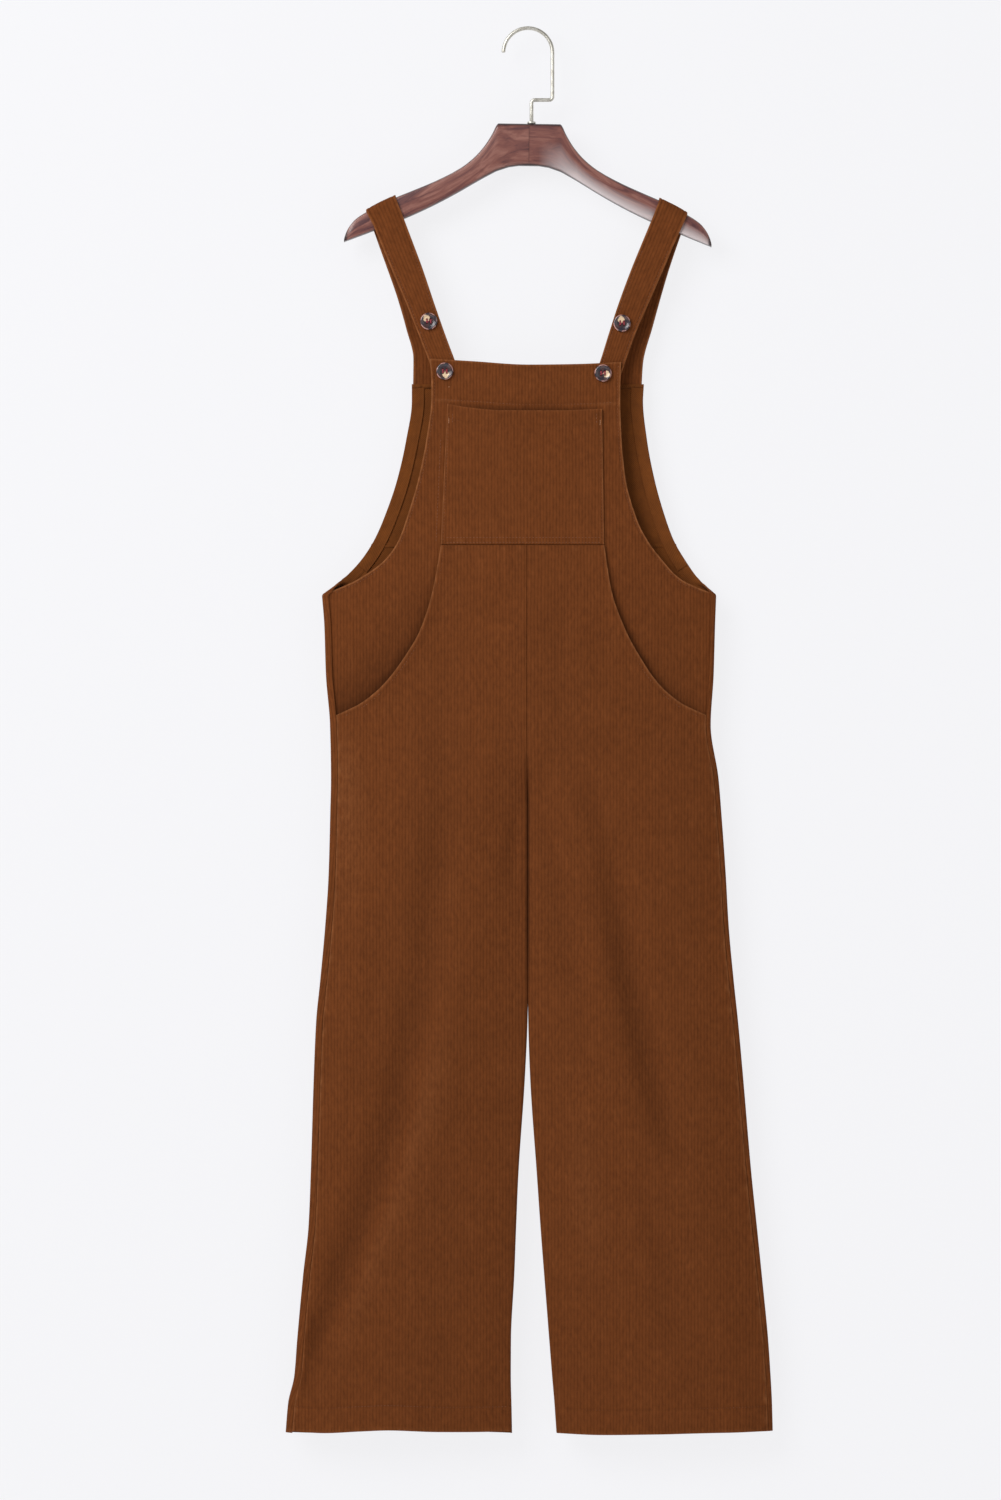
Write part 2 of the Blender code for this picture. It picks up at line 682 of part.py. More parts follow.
def hanger_hook(finish):
    """Bent wire with closed ends."""
    line = hook_line()
    curve = bpy.data.curves.new("hanger_hook", "CURVE")
    curve.dimensions = "3D"
    curve.bevel_depth = 0.001 * HOOK_WIRE / 2
    curve.bevel_resolution = 3
    curve.use_fill_caps = True
    spline = curve.splines.new("POLY")
    spline.points.add(len(line) - 1)
    for point, (x, z) in zip(spline.points, line):
        point.co = (0.001 * x, 0.0, 0.001 * z, 1.0)
    curve.materials.append(finish)
    hook = bpy.data.objects.new("hanger_hook", curve)
    bpy.context.scene.collection.objects.link(hook)
    return hook


def turned(name, profile, axis_point, axis, segments, finish, closed_ring=False):
    """Solid turned about an axis: profile rows are (radius, rise), with the rise along the axis."""
    points, faces = [], []
    for radius, rise in profile:
        for k in range(segments):
            angle = 2 * math.pi * k / segments
            a, b = radius * math.cos(angle), radius * math.sin(angle)
            offset = (a, -rise, b) if axis == "-Y" else (a, b, rise)
            points.append(tuple(p + q for p, q in zip(axis_point, offset)))
    count = len(profile)
    for i in range(count if closed_ring else count - 1):
        for k in range(segments):
            a, b = i * segments + k, i * segments + (k + 1) % segments
            c, d = ((i + 1) % count) * segments + k, ((i + 1) % count) * segments + (k + 1) % segments
            faces.append((a, b, d, c))
    if not closed_ring:
        faces.append(tuple(range(segments)))
        faces.append(tuple(range((count - 1) * segments, count * segments)))
    thing = build_mesh(name, points, faces, finish)
    face_out(thing)
    return thing


def hook_collar(finish):
    """Small washer round the wire on the wood's top."""
    inner = HOOK_WIRE / 2 + GAP
    profile = [(inner + row["out"], row["rise"]) for row in COLLAR_PROFILE]
    foot = neck_top() + GAP + 2 * SLACK
    place = (HOOK_FOOT_X, 0.0, foot)
    return turned("hook_collar", profile, place, "+Z", COLLAR_SIDES, finish, closed_ring=True)


def strap_drop(z, side, face):
    """How far down from the hanger to its lower end a strap is, 0 to 1."""
    rows = STRAP_FRONT[side] if face == "front" else STRAP_BACK[side]
    top, end = rows["z"][-1], (BIB_TOP_Z if face == "front" else BACK_TOP_Z)
    return ease((top - z) / (top - end))


def strap_face(x, z, side, face):
    """Outer face of a strap below the hanger."""
    t = strap_drop(z, side, face)
    at_wood = WOOD_THICK / 2 + WOOD_CLEAR + STRAP_CLOTH
    if face == "front":
        behind_bib = bib_y(x, z) + LAYER + SLACK
        return -at_wood * (1 - t) + behind_bib * t
    return at_wood * (1 - t) + back_y(x, z) * t


def strap_over_wood(side, share, corner):
    """Point of a strap where it lies over the wood: a share across its width, at a corner of the section."""
    rows = STRAP_FRONT[side] if corner >= WOOD_RING // 4 else STRAP_BACK[side]
    fold = STRAP_FOLD[side][0] * (1 - share) + STRAP_FOLD[side][1] * share
    low = rows["outer"][-1] * (1 - share) + rows["inner"][-1] * share
    sign = -1 if side == "left" else 1
    top_z = read_straight(WOOD, "top", fold)
    reach = fold
    for _ in range(4):
        y, z = wood_ring(sign * reach, WOOD_CLEAR + STRAP_CLOTH)[corner % WOOD_RING]
        reach = fold + (low - fold) * max(0.0, top_z - z) / (top_z - rows["z"][-1])
    px, pz = wood_place(sign * reach, z)
    return px, y, pz


def strap_row(z, side, face, shares):
    """Points across a strap at height z, below the hanger."""
    rows = STRAP_FRONT[side] if face == "front" else STRAP_BACK[side]
    sign = -1 if side == "left" else 1
    row = []
    for share in shares:
        x = sign * (read(rows, "outer", z) * (1 - share) + read(rows, "inner", z) * share)
        row.append((x, strap_face(x, z, side, face), z))
    return row


def strap(side, finish):
    """One strap: up from behind the bib, over the hanger and down to the back."""
    shares = [j / STRAP_COLUMNS for j in range(STRAP_COLUMNS + 1)]
    grid = [strap_row(z, side, "front", shares) for z in STRAP_FRONT_ROWS]
    for corner in range(WOOD_RING // 2, -2, -1):
        grid.append([strap_over_wood(side, share, corner) for share in shares])
    grid += [strap_row(z, side, "back", shares) for z in STRAP_BACK_ROWS]
    return cloth("strap_" + side, grid, STRAP_CLOTH, finish, faces_back=(side == "left"))


def button_seat(x, z, on_bib):
    """Depth of a button's underside: clear of the cloth all round its rim."""
    depths = []
    for k in range(8):
        angle = 2 * math.pi * k / 8
        px, pz = x + BUTTON_RADIUS * math.cos(angle), z + BUTTON_RADIUS * math.sin(angle)
        depths.append(bib_y(px, pz) if on_bib else strap_face(px, pz, side_of(x), "front"))
    return min(depths) - GAP


def button(name, x, z, on_bib, finish):
    """Four-hole button with a raised rim."""
    seat = (x, button_seat(x, z, on_bib), z)
    thing = turned(name, BUTTON_PROFILE.tolist(), seat, "-Y", BUTTON_SIDES, finish)
    for k, (dx, dz) in enumerate(((-1, -1), (-1, 1), (1, -1), (1, 1))):
        bpy.ops.mesh.primitive_cylinder_add(
            vertices=6, radius=0.001 * BUTTON_HOLE, depth=0.001 * BUTTON_DRILL, rotation=(math.pi / 2, 0, 0),
            location=(0.001 * (x + dx * BUTTON_HOLE_STEP), 0.001 * seat[1],
                      0.001 * (z + dz * BUTTON_HOLE_STEP)))
        drill = bpy.context.object
        drill.name = f"{name}_drill_{k}"
        drill.hide_render = True
        drill.display_type = "WIRE"
        cut = thing.modifiers.new(f"hole_{k}", "BOOLEAN")
        cut.operation = "DIFFERENCE"
        cut.object = drill
    return thing


def build():
    """All the pieces."""
    for thing in list(bpy.data.objects):
        bpy.data.objects.remove(thing, do_unlink=True)
    corduroy = material("corduroy", (0.145, 0.042, 0.012), 0.9, 0.0)
    facing_cloth = material("facing_cloth", (0.16, 0.05, 0.016), 0.9, 0.0)
    rosewood = material("rosewood", (0.13, 0.035, 0.025), 0.3, 0.0)
    nickel = material("nickel_wire", (0.6, 0.58, 0.53), 0.35, 1.0)
    horn = material("tortoiseshell", (0.06, 0.03, 0.02), 0.25, 0.0)
    hanger_hook(nickel)
    hook_collar(nickel)
    hanger_wood(rosewood)
    bib_front(corduroy)
    bib_pocket(corduroy)
    for side in ("left", "right"):
        front_hip(side, corduroy)
        front_leg(side, corduroy)
        back_bodice(side, corduroy)
        back_hip(side, corduroy)
        back_leg(side, corduroy)
        facing(side, facing_cloth)
        strap(side, corduroy)
    for name, place in zip(BUTTON_NAMES, BUTTONS):
        button(name, place["x"], place["z"], "bib" in name, horn)


build()
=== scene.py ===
"""Looks of a pair of corduroy bib overalls on a wooden hanger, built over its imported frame.

Every size is in millimetres, and a mesh is turned into metres as it is made. The front faces -Y, and left
is -X. The cloth panels are thin shells on the forms of their solids, with the finer folds, seams and edges.
"""

import logging
import math
from dataclasses import dataclass, field
from enum import Enum
from functools import partial
from typing import Callable, Sequence

import bmesh
import bpy
import numpy as np
from mathutils import Matrix, Vector, noise

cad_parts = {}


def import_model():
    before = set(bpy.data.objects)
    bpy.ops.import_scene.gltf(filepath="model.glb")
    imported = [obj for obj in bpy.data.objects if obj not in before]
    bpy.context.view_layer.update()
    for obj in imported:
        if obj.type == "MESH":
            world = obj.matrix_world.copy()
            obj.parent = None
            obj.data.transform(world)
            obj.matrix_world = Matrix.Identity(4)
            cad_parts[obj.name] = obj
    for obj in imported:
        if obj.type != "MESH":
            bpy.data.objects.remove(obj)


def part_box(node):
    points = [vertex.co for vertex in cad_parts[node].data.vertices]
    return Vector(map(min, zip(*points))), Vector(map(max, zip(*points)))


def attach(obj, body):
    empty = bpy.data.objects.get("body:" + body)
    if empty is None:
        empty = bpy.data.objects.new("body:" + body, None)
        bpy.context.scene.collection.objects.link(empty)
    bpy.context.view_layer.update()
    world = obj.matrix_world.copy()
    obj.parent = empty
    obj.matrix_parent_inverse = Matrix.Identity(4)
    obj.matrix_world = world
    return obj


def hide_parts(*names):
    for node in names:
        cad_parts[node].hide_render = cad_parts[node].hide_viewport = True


Array = np.ndarray
Thing = bpy.types.Object
Material = bpy.types.Material
Face = Callable[[Array, Array], Array]
Edge = Callable[[Array], Array]
MM = 0.001
BODY = "root"
log = logging.getLogger("overalls")


class Side(Enum):
    """Half of the garment, as seen from the front."""

    LEFT = "left"
    RIGHT = "right"

    @property
    def sign(self) -> int:
        """Direction of this side along X."""
        return -1 if self is Side.LEFT else 1


class Way(Enum):
    """Which way a face of cloth looks."""

    FRONT = -1
    BACK = 1


class Slot(Enum):
    """Material slots of the record."""

    CORDUROY = "corduroy"
    ROSEWOOD = "rosewood"
    NICKEL = "nickel_wire"
    TORTOISESHELL = "tortoiseshell"


@dataclass(frozen=True)
class Table:
    """Rows of millimetres with named columns, in order along the first column."""

    columns: str
    rows: tuple[tuple[float, ...], ...]

    def column(self, name: str) -> Array:
        """One column as numbers."""
        return np.array(self.rows, float)[:, self.columns.split().index(name)]

    def read(self, name: str, at: Array | float) -> Array:
        """Column at places along the first column, on a cubic that never overshoots the rows.

        Args:
            name: the column.
            at: places along the first column, held within its ends.

        Returns:
            The values, in the shape of the places.
        """
        xs, ys = self.column(self.columns.split()[0]), self.column(name)
        if xs[0] > xs[-1]:
            xs, ys = xs[::-1], ys[::-1]
        steps = np.diff(xs)
        slopes = np.diff(ys) / steps
        bends = np.zeros(len(xs))
        bends[0], bends[-1] = slopes[0], slopes[-1]
        product = slopes[:-1] * slopes[1:]
        total = np.where(product > 0, slopes[:-1] + slopes[1:], 1.0)
        bends[1:-1] = np.where(product > 0, 2 * product / total, 0.0)
        at = np.clip(at, xs[0], xs[-1])
        i = np.clip(np.searchsorted(xs, at) - 1, 0, len(steps) - 1)
        t = (at - xs[i]) / steps[i]
        lift = (2 * t + 1) * (1 - t) ** 2 * ys[i] + t * t * (3 - 2 * t) * ys[i + 1]
        return lift + t * (1 - t) * ((1 - t) * bends[i] - t * bends[i + 1]) * steps[i]


def table(columns: str, *rows: tuple[float, ...]) -> Table:
    """Table from its rows."""
    return Table(columns, rows)


def fold(*rows: tuple[float, ...]) -> Table:
    """Line of one fold: its height (a trough is negative) and half width at places down the cloth."""
    return Table("z x height width", rows)


def ease(t: Array | float) -> Array:
    """0 to 1 with soft ends, clipped outside."""
    t = np.clip(t, 0.0, 1.0)
    return t * t * (3 - 2 * t)


def bell(away: Array | float) -> Array:
    """1 at nothing, falling off softly on both sides."""
    return np.exp(-np.square(away))


def runs(start: float, *stops: tuple[float, float]) -> Array:
    """Heights from a start down through stops, each with the step that leads to it.

    Args:
        start: the first height.
        stops: pairs of a height and the step on the way to it.

    Returns:
        All the heights, evenly spaced within each run.
    """
    heights = [np.array([start])]
    for end, step in stops:
        count = max(1, round(abs(end - heights[-1][-1]) / step))
        heights.append(np.linspace(heights[-1][-1], end, count + 1)[1:])
    return np.concatenate(heights)


def spread(a: Array, b: Array, lead: Sequence[float], middle: int) -> Array:
    """Columns from a to b, close together near both ends.

    Args:
        a: where each row starts.
        b: where each row ends.
        lead: distances from either end of the columns near it.
        middle: number of columns between the leads.

    Returns:
        One row of places for each pair of ends.
    """
    steps = np.array(lead)
    width = (b - a)[:, None]
    fit = np.minimum(1.0, 0.4 * np.abs(width) / steps[-1]) * np.sign(width)
    start, end = a[:, None] + steps * fit, b[:, None] - steps[::-1] * fit
    share = np.linspace(0, 1, middle + 2)[1:-1]
    return np.hstack([start, start[:, -1:] * (1 - share) + end[:, :1] * share, end])


def edge_distance(reach: Edge, x: Array, z: Array) -> Array:
    """Distance of places from an edge of the cloth, square to it."""
    slope = (reach(z - 1) - reach(z + 1)) / 2
    return (reach(z) - np.abs(x)) / np.hypot(1, slope)


def inset_line(reach: Edge, z: Array, inset: Array | float) -> tuple[Array, Array]:
    """Line at a distance inside an edge, square to it.

    Args:
        reach: how far out the edge lies at a height.
        z: heights on the edge.
        inset: the distance.

    Returns:
        Reach and height of each point.
    """
    slope = (reach(z - 1) - reach(z + 1)) / 2
    size = np.hypot(1, slope)
    return reach(z) - inset / size, z - inset * slope / size


def noise_field(x: Array, z: Array, size: tuple[float, float], seed: float) -> Array:
    """Smooth noise from about -0.5 to 0.5 over the cloth.

    Args:
        x: places across, in millimetres.
        z: places down.
        size: typical width and height of its patches.
        seed: moves it to another part of the noise.

    Returns:
        The noise, in the shape of x.
    """
    xs, zs = np.broadcast_arrays(x, z)
    flat = [noise.noise(Vector((u / size[0], v / size[1], seed))) for u, v in zip(xs.ravel(), zs.ravel())]
    return np.array(flat).reshape(xs.shape)


# ---------------------------------------------------------------------------- the garment's form

# The flattened garment from the armholes down: side lines and inseams.
SIDES = table(
    "z left left_in right_in right",
    (-593, 216.4, 0.0, 0.0, 197.7),
    (-625, 213.9, 0.0, 0.0, 196.5),
    (-677, 212.2, 0.0, 0.0, 195.0),
    (-730, 207.9, 0.0, 0.0, 191.9),
    (-785, 206.9, 0.0, 0.0, 200.0),
    (-824, 207.7, 0.0, 0.0, 203.2),
    (-887, 209.4, 0.0, 0.0, 207.7),
    (-940, 212.9, 0.0, 0.0, 210.7),
    (-1000, 218.4, 0.0, 0.0, 216.2),
    (-1040, 222.4, 0.7, 0.5, 220.5),
    (-1097, 224.9, 3.3, 2.3, 225.7),
    (-1202, 228.2, 10.3, 9.5, 234.7),
    (-1255, 230.4, 12.6, 13.2, 240.2),
    (-1307, 236.1, 14.6, 17.2, 245.5),
    (-1375, 242.4, 18.1, 22.5, 252.2),
    (-1412, 245.4, 18.3, 25.5, 254.7),
    (-1440, 251.9, 17.6, 28.0, 256.2),
    (-1475, 254.9, 16.9, 30.5, 257.2),
)
# Both armhole edges, from the bib's corners down to the side seams.
ARMHOLES = table(
    "z back_left bib_left bib_right back_right",
    (-348, 122.1, 103.0, 97.7, 122.2),
    (-373, 122.1, 101.2, 96.8, 121.8),
    (-389, 122.1, 101.4, 96.6, 121.0),
    (-430, 128.1, 106.5, 98.0, 125.2),
    (-472, 137.6, 115.0, 102.3, 133.2),
    (-514, 152.1, 127.5, 114.0, 145.2),
    (-536, 162.1, 135.7, 125.0, 153.5),
    (-556, 175.1, 149.5, 140.0, 165.0),
    (-577, 195.1, 178.5, 160.5, 180.0),
    (-593, 216.4, 214.9, 196.2, 197.7),
)
# Opening of the side pockets, the leg front's edge over the bib's hip.
POCKET_CURVE = table(
    "z left right",
    (-541, 91.4, 79.8),
    (-588, 99.8, 87.2),
    (-630, 113.0, 102.0),
    (-660, 130.5, 118.3),
    (-686, 150.5, 136.5),
    (-706, 174.0, 159.5),
    (-719, 200.0, 186.0),
)
POCKET_TOP, POCKET_END = POCKET_CURVE.rows[0][0], POCKET_CURVE.rows[-1][0]
BIB_TOP = table("x z", (-103, -345.8), (-60, -348.5), (0, -352.2), (50, -351.6), (98, -349.4))
BIB_POCKET_TOP = table("x z", (-86, -393.0), (-60, -397.5), (-25, -400.3), (30, -400.3), (79, -398.5))
BIB_POCKET_SIDE = table("z left right", (-390, 84.5, 77.6), (-541, 91.4, 79.8))
BIB_POCKET_MOUTH = BIB_POCKET_SIDE.rows[0][1:]
HEMS = {
    Side.LEFT: table("x z", (-254, -1470.0), (-218, -1471.9), (-176, -1469.5), (-145, -1468.2),
                     (-92, -1470.5), (-19, -1471.0)),
    Side.RIGHT: table("x z", (32, -1472.8), (75, -1473.9), (140, -1472.4), (200, -1471.0), (256, -1470.6)),
}
# How far up the legs' hems are stitched.
HEM_STITCH = 26.0
# How far the flattened tube bows out from its side seams.
BOW = table(
    "z front back",
    (-340, 12.6, 8.4),
    (-450, 13.5, 9.0),
    (-541, 15.0, 10.5),
    (-640, 17.0, 12.5),
    (-740, 18.0, 13.5),
    (-824, 15.5, 12.5),
    (-930, 14.0, 12.0),
    (-1100, 13.0, 11.5),
    (-1300, 14.0, 13.0),
    (-1475, 17.0, 16.0),
)
# Soft folds, which the solids have too.
FRONT_FOLDS = (
    fold((-800, -89, 0, 26), (-900, -101, -4.5, 26), (-1070, -124, -5.0, 28), (-1230, -173, -4.5, 26),
         (-1330, -208, -3.0, 24), (-1440, -232, 0, 22)),
    fold((-880, -66, 0, 30), (-980, -74, 3.5, 30), (-1180, -112, 3.5, 34), (-1420, -150, 0, 34)),
    fold((-930, -186, 0, 24), (-1060, -190, 3.0, 24), (-1190, -206, 0, 22)),
    fold((-790, 62, 0, 24), (-870, 90, -3.5, 24), (-980, 105, -4.5, 26), (-1090, 135, -3.5, 28),
         (-1230, 165, 0, 28)),
    fold((-960, 132, 0, 26), (-1100, 165, 3.5, 28), (-1300, 196, 2.5, 30), (-1475, 215, 3.0, 30)),
    fold((-880, 12, 0, 20), (-960, 36, -2.5, 22), (-1060, 70, 0, 24)),
    fold((-1230, 92, 0, 30), (-1380, 98, -3.0, 32), (-1475, 102, -4.0, 34)),
    fold((-1300, -75, 0, 28), (-1400, -88, -3.0, 30), (-1475, -96, -4.0, 32)),
)
BACK_FOLDS = (
    fold((-800, -120, 0, 28), (-960, -112, -4.5, 28), (-1150, -120, -4.5, 30), (-1380, -150, 0, 30)),
    fold((-860, -60, 0, 30), (-1050, -62, 3.5, 32), (-1300, -70, 0, 34)),
    fold((-790, 118, 0, 28), (-930, 108, -4.0, 28), (-1120, 124, -4.5, 30), (-1340, 160, 0, 30)),
    fold((-900, 50, 0, 30), (-1080, 62, 3.5, 32), (-1330, 84, 0, 34)),
    fold((-1260, -120, 0, 30), (-1400, -122, 3.0, 32), (-1475, -124, 4.5, 34)),
    fold((-1240, 130, 0, 30), (-1400, 138, 3.5, 32), (-1475, 142, 4.5, 34)),
)
# Finer creases, which the solids leave out.
FRONT_CREASES = (
    fold((-560, -88, 0, 16), (-650, -90, -1.2, 18), (-819, -91, -2.0, 18), (-903, -98, -2.6, 17),
         (-998, -108, -2.6, 17), (-1081, -124, -3.4, 18), (-1202, -152, -5.0, 19), (-1297, -188, -5.0, 18),
         (-1391, -224, -3.4, 15), (-1440, -240, 0, 12)),
    fold((-1020, -84, 0, 20), (-1130, -108, 1.8, 20), (-1240, -146, 2.2, 20), (-1330, -176, 1.4, 20),
         (-1410, -204, 0, 18)),
    fold((-780, 62, 0, 14), (-820, 72, -2.4, 15), (-882, 86, -3.0, 16), (-966, 102, -4.2, 17),
         (-1040, 117, -4.8, 17), (-1124, 138, -3.8, 16), (-1200, 156, 0, 16)),
    fold((-800, 12, 0, 9), (-835, 20, -2.2, 10), (-903, 33, -2.0, 13), (-1000, 50, -1.4, 15),
         (-1090, 66, 0, 16)),
    fold((-810, -8, 0, 8), (-850, -14, -1.6, 9), (-930, -24, 0, 11)),
    fold((-560, 34, 0, 14), (-640, 34, -1.2, 15), (-740, 32, -1.0, 15), (-800, 26, 0, 12)),
    fold((-560, 78, 0, 14), (-640, 74, -1.0, 14), (-720, 66, 0, 14)),
    fold((-600, -196, 0, 8), (-640, -168, -0.9, 9), (-690, -120, 0, 10)),
    fold((-722, -196, 0, 16), (-780, -186, 2.2, 18), (-860, -182, 1.4, 20), (-960, -186, 0, 20)),
    fold((-1330, -236, 0, 7), (-1375, -222, -1.4, 9), (-1425, -200, 0, 10)),
    fold((-1390, -240, 0, 6), (-1418, -232, -1.8, 8), (-1450, -214, 0, 9)),
    fold((-880, -150, 0, 14), (-960, -154, -1.4, 15), (-1060, -172, -1.2, 15), (-1140, -190, 0, 15)),
    fold((-1120, 60, 0, 14), (-1220, 66, 1.2, 16), (-1340, 80, 0, 16)),
    fold((-1180, 120, 0, 16), (-1280, 138, -1.6, 18), (-1400, 160, 0, 18)),
)
BACK_CREASES = (
    fold((-826, -12, 0, 9), (-870, -34, -3.0, 11), (-950, -70, -2.6, 14), (-1010, -92, 0, 13)),
    fold((-826, 12, 0, 9), (-880, 38, -3.0, 11), (-960, 76, -2.6, 14), (-1040, 100, 0, 13)),
    fold((-820, -118, 0, 14), (-960, -114, -2.6, 16), (-1080, -126, -3.4, 17), (-1200, -152, -4.2, 18),
         (-1300, -178, -3.0, 17), (-1390, -206, 0, 14)),
    fold((-850, 104, 0, 14), (-960, 112, -2.8, 16), (-1080, 132, -4.0, 17), (-1200, 160, -3.4, 17),
         (-1330, 196, 0, 15)),
    fold((-620, -52, 0, 14), (-690, -80, -2.2, 15), (-780, -126, 0, 16)),
    fold((-630, 58, 0, 14), (-710, 90, -2.2, 15), (-790, 134, 0, 16)),
    fold((-900, -160, 0, 14), (-1020, -172, 1.8, 16), (-1160, -186, 0, 16)),
    fold((-920, 156, 0, 14), (-1040, 172, 1.8, 16), (-1200, 190, 0, 16)),
)


@dataclass(frozen=True)
class GarmentForm:
    """The flattened tube of cloth: how far its front and back stand from the hanger's plane."""

    cloth: float = 1.6
    gap: float = 0.3
    roll: float = 3.5
    seam_inset: dict[Side, float] = field(default_factory=lambda: {Side.LEFT: 7.0, Side.RIGHT: 5.0})
    bib_top_z: float = -348.0
    waist_z: float = -541.0
    crotch_z: float = -824.0
    crotch_rise: float = 84.0
    back_top_z: float = -373.0
    armhole_z: float = -593.0
    turn_z: float = -575.0
    turn_run: float = 18.0
    hem_z: float = -1470.0
    hem_run: float = 90.0
    unevenness: float = 1.2
    pucker: float = 0.5
    lean: float = 0.07
    lean_reach: float = 16.0
    press: float = 0.35

    @property
    def layer(self) -> float:
        """From one lying layer to the next."""
        return self.cloth + self.gap

    def line(self, x: Array, z: Array, suffix: str = "") -> Array:
        """Reach of the side line, or of the inseam, on the side where x lies."""
        return np.where(x < 0, SIDES.read("left" + suffix, z), SIDES.read("right" + suffix, z))

    def seam_reach(self, z: Array, side: Side) -> Array:
        """Reach of the side seam on the front."""
        return SIDES.read(side.value, z) - self.seam_inset[side]

    def parted(self, z: Array) -> Array:
        """0 where the cloth is one tube round both legs, 1 from the crotch down."""
        return ease((self.crotch_z + self.crotch_rise - z) / self.crotch_rise)

    def across(self, x: Array, z: Array) -> Array:
        """Place across one half: 0 at the middle or inseam, 1 where the cloth turns back."""
        inner = self.line(x, z, "_in")
        return np.clip((np.abs(x) - inner) / (self.line(x, z) - self.roll - inner), 0.0, 1.0)

    def bow(self, x: Array, z: Array, way: Way) -> Array:
        """How far the cloth stands out from the flat, without its folds."""
        s, w = self.across(x, z), self.parted(z)
        return BOW.read(way.name.lower(), z) * ((1 - w) * (1 - s * s) + w * 4 * s * (1 - s))

    def folds(self, x: Array, z: Array, rows: Sequence[Table], reach: float = 6.0) -> Array:
        """Sum of folds at places, faded out towards both edges of a leg.

        Args:
            x: places across.
            z: places down.
            rows: the folds.
            reach: how soon they rise again from an edge.

        Returns:
            Heights outward.
        """
        s = self.across(x, z)
        total = np.zeros(np.broadcast(x, z).shape)
        for row in rows:
            zs = row.column("z")
            inside = (z <= zs[0]) & (z >= zs[-1])
            away = (x - row.read("x", z)) / row.read("width", z)
            total = total + np.where(inside, row.read("height", z) * bell(away), 0.0)
        return total * ease(reach * (1 - s)) * np.where(self.parted(z) > 0.5, ease(reach * s), 1.0)

    def uneven(self, x: Array, z: Array, seed: float) -> Array:
        """Soft unevenness of hanging cloth, long down the grain, with a finer one on it."""
        return self.unevenness * (noise_field(x, z, (70.0, 210.0), seed)
                                  + 0.45 * noise_field(x, z, (24.0, 60.0), seed + 7.0))

    def front(self, x: Array, z: Array) -> Array:
        """Outer face of the leg fronts and of the bib pocket."""
        small = self.folds(x, z, FRONT_CREASES, 14.0) + self.uneven(x, z, 0.0)
        return -(self.roll + self.bow(x, z, Way.FRONT) + self.folds(x, z, FRONT_FOLDS) + small)

    def back(self, x: Array, z: Array) -> Array:
        """Outer face of the back."""
        small = self.folds(x, z, BACK_CREASES, 14.0) + self.uneven(x, z, 31.0)
        return self.roll + self.bow(x, z, Way.BACK) + self.folds(x, z, BACK_FOLDS) + small

    def leaned(self, points: Array) -> Array:
        """Points with the halves' middle edges leaning one way, so that no light comes between them.

        Args:
            points: X, Y and Z of each.

        Returns:
            The moved points.
        """
        inner = np.abs(points[..., 0]) - self.line(points[..., 0], points[..., 2], "_in")
        shift = self.lean * points[..., 1] * bell(np.maximum(inner, 0.0) / self.lean_reach)
        return points + np.stack([shift, 0 * shift, 0 * shift], axis=-1)

    def settle(self, x: Array, z: Array, side: Side, drop: float = 0.0) -> Array:
        """Heights moved so that the rows near the hem run along its line.

        Args:
            x: places across.
            z: heights as if the hem were level.
            side: the leg.
            drop: how much lower this hem hangs.

        Returns:
            The heights.
        """
        share = ease((self.hem_z + self.hem_run - z) / self.hem_run)
        return z + (HEMS[side].read("z", x) - drop - self.hem_z) * share


def mark(height: Array, tone: Array) -> Array:
    """Height and tone of the cloth as one array; a tone above 0 is pale, as wear and as painted highlight,
    below 0 it is dark, as painted shade.
    """
    return np.stack(np.broadcast_arrays(height, tone), axis=-1)


def scaled(share: Array, marks: Array) -> Array:
    """Height and tone by a share of them."""
    return np.asarray(share)[..., None] * marks


def hem_fold(z: Array, hem: Array) -> Array:
    """Doubled hem, with its row of stitches drawn in under a line of painted shade, and its lower edge paler.

    Args:
        z: heights.
        hem: height of the hem below them.

    Returns:
        Height and tone.
    """
    up = z - hem
    drawn_in = bell((up - HEM_STITCH) / 1.3)
    # The stitch row is darkened as painted shade; the lower edge is paler.
    return mark(0.5 * ease((HEM_STITCH + 2 - up) / 4) - 0.5 * drawn_in, 0.2 * bell(up / 1.8) - 0.2 * drawn_in)


def turned_edge(away: Array, stitch: float, thick: float = 0.5, wear_and_highlight: float = 0.6) -> Array:
    """Turned and stitched edge.

    Args:
        away: distance from the edge.
        stitch: distance of the stitches from the edge.
        thick: height of the doubled cloth.
        wear_and_highlight: how pale its very edge is, as wear and as painted highlight, and how dark the
            painted shade along its stitches is.

    Returns:
        Height and tone.
    """
    height = thick * ease((stitch + 4.0 - away) / 3.0) - 0.5 * bell((away - stitch) / 0.9)
    # The very edge is pale, as wear and as painted highlight, and the row of stitches is darkened as painted
    # shade.
    return mark(height, wear_and_highlight * bell(away / 1.5) - 0.25 * wear_and_highlight * bell((away - stitch) / 1.0))


def pressed_seam(away: Array, along: Array, pucker: float, seed: float) -> Array:
    """Cloth that dips into a seam under painted shade, with its pressed allowance and small puckers beside
    it, which carry painted light and shade.

    Args:
        away: distance from the seam.
        along: place along the seam.
        pucker: height of the puckers.
        seed: sets them apart from those of other seams.

    Returns:
        Height and tone.
    """
    waves = noise_field(along, np.zeros_like(along) + seed, (11.0, 1.0), seed)
    height = -0.4 * bell(away / 1.2) + 0.1 * bell((away - 5.0) / 4.5) \
        + pucker * waves * bell((away - 4.0) / 7.0)
    # Tone: painted shade in the seam, and painted light and shade that follow the puckers.
    return mark(height, -0.12 * bell(away / 1.2) + 0.3 * waves * bell((away - 4.0) / 2.5))


# ---------------------------------------------------------------------------- finishes


def linear(code: str) -> tuple[float, float, float, float]:
    """Linear colour from an sRGB hex code."""
    parts = [int(code[i:i + 2], 16) / 255 for i in (0, 2, 4)]
    return (*[c / 12.92 if c <= 0.04045 else ((c + 0.055) / 1.055) ** 2.4 for c in parts], 1.0)


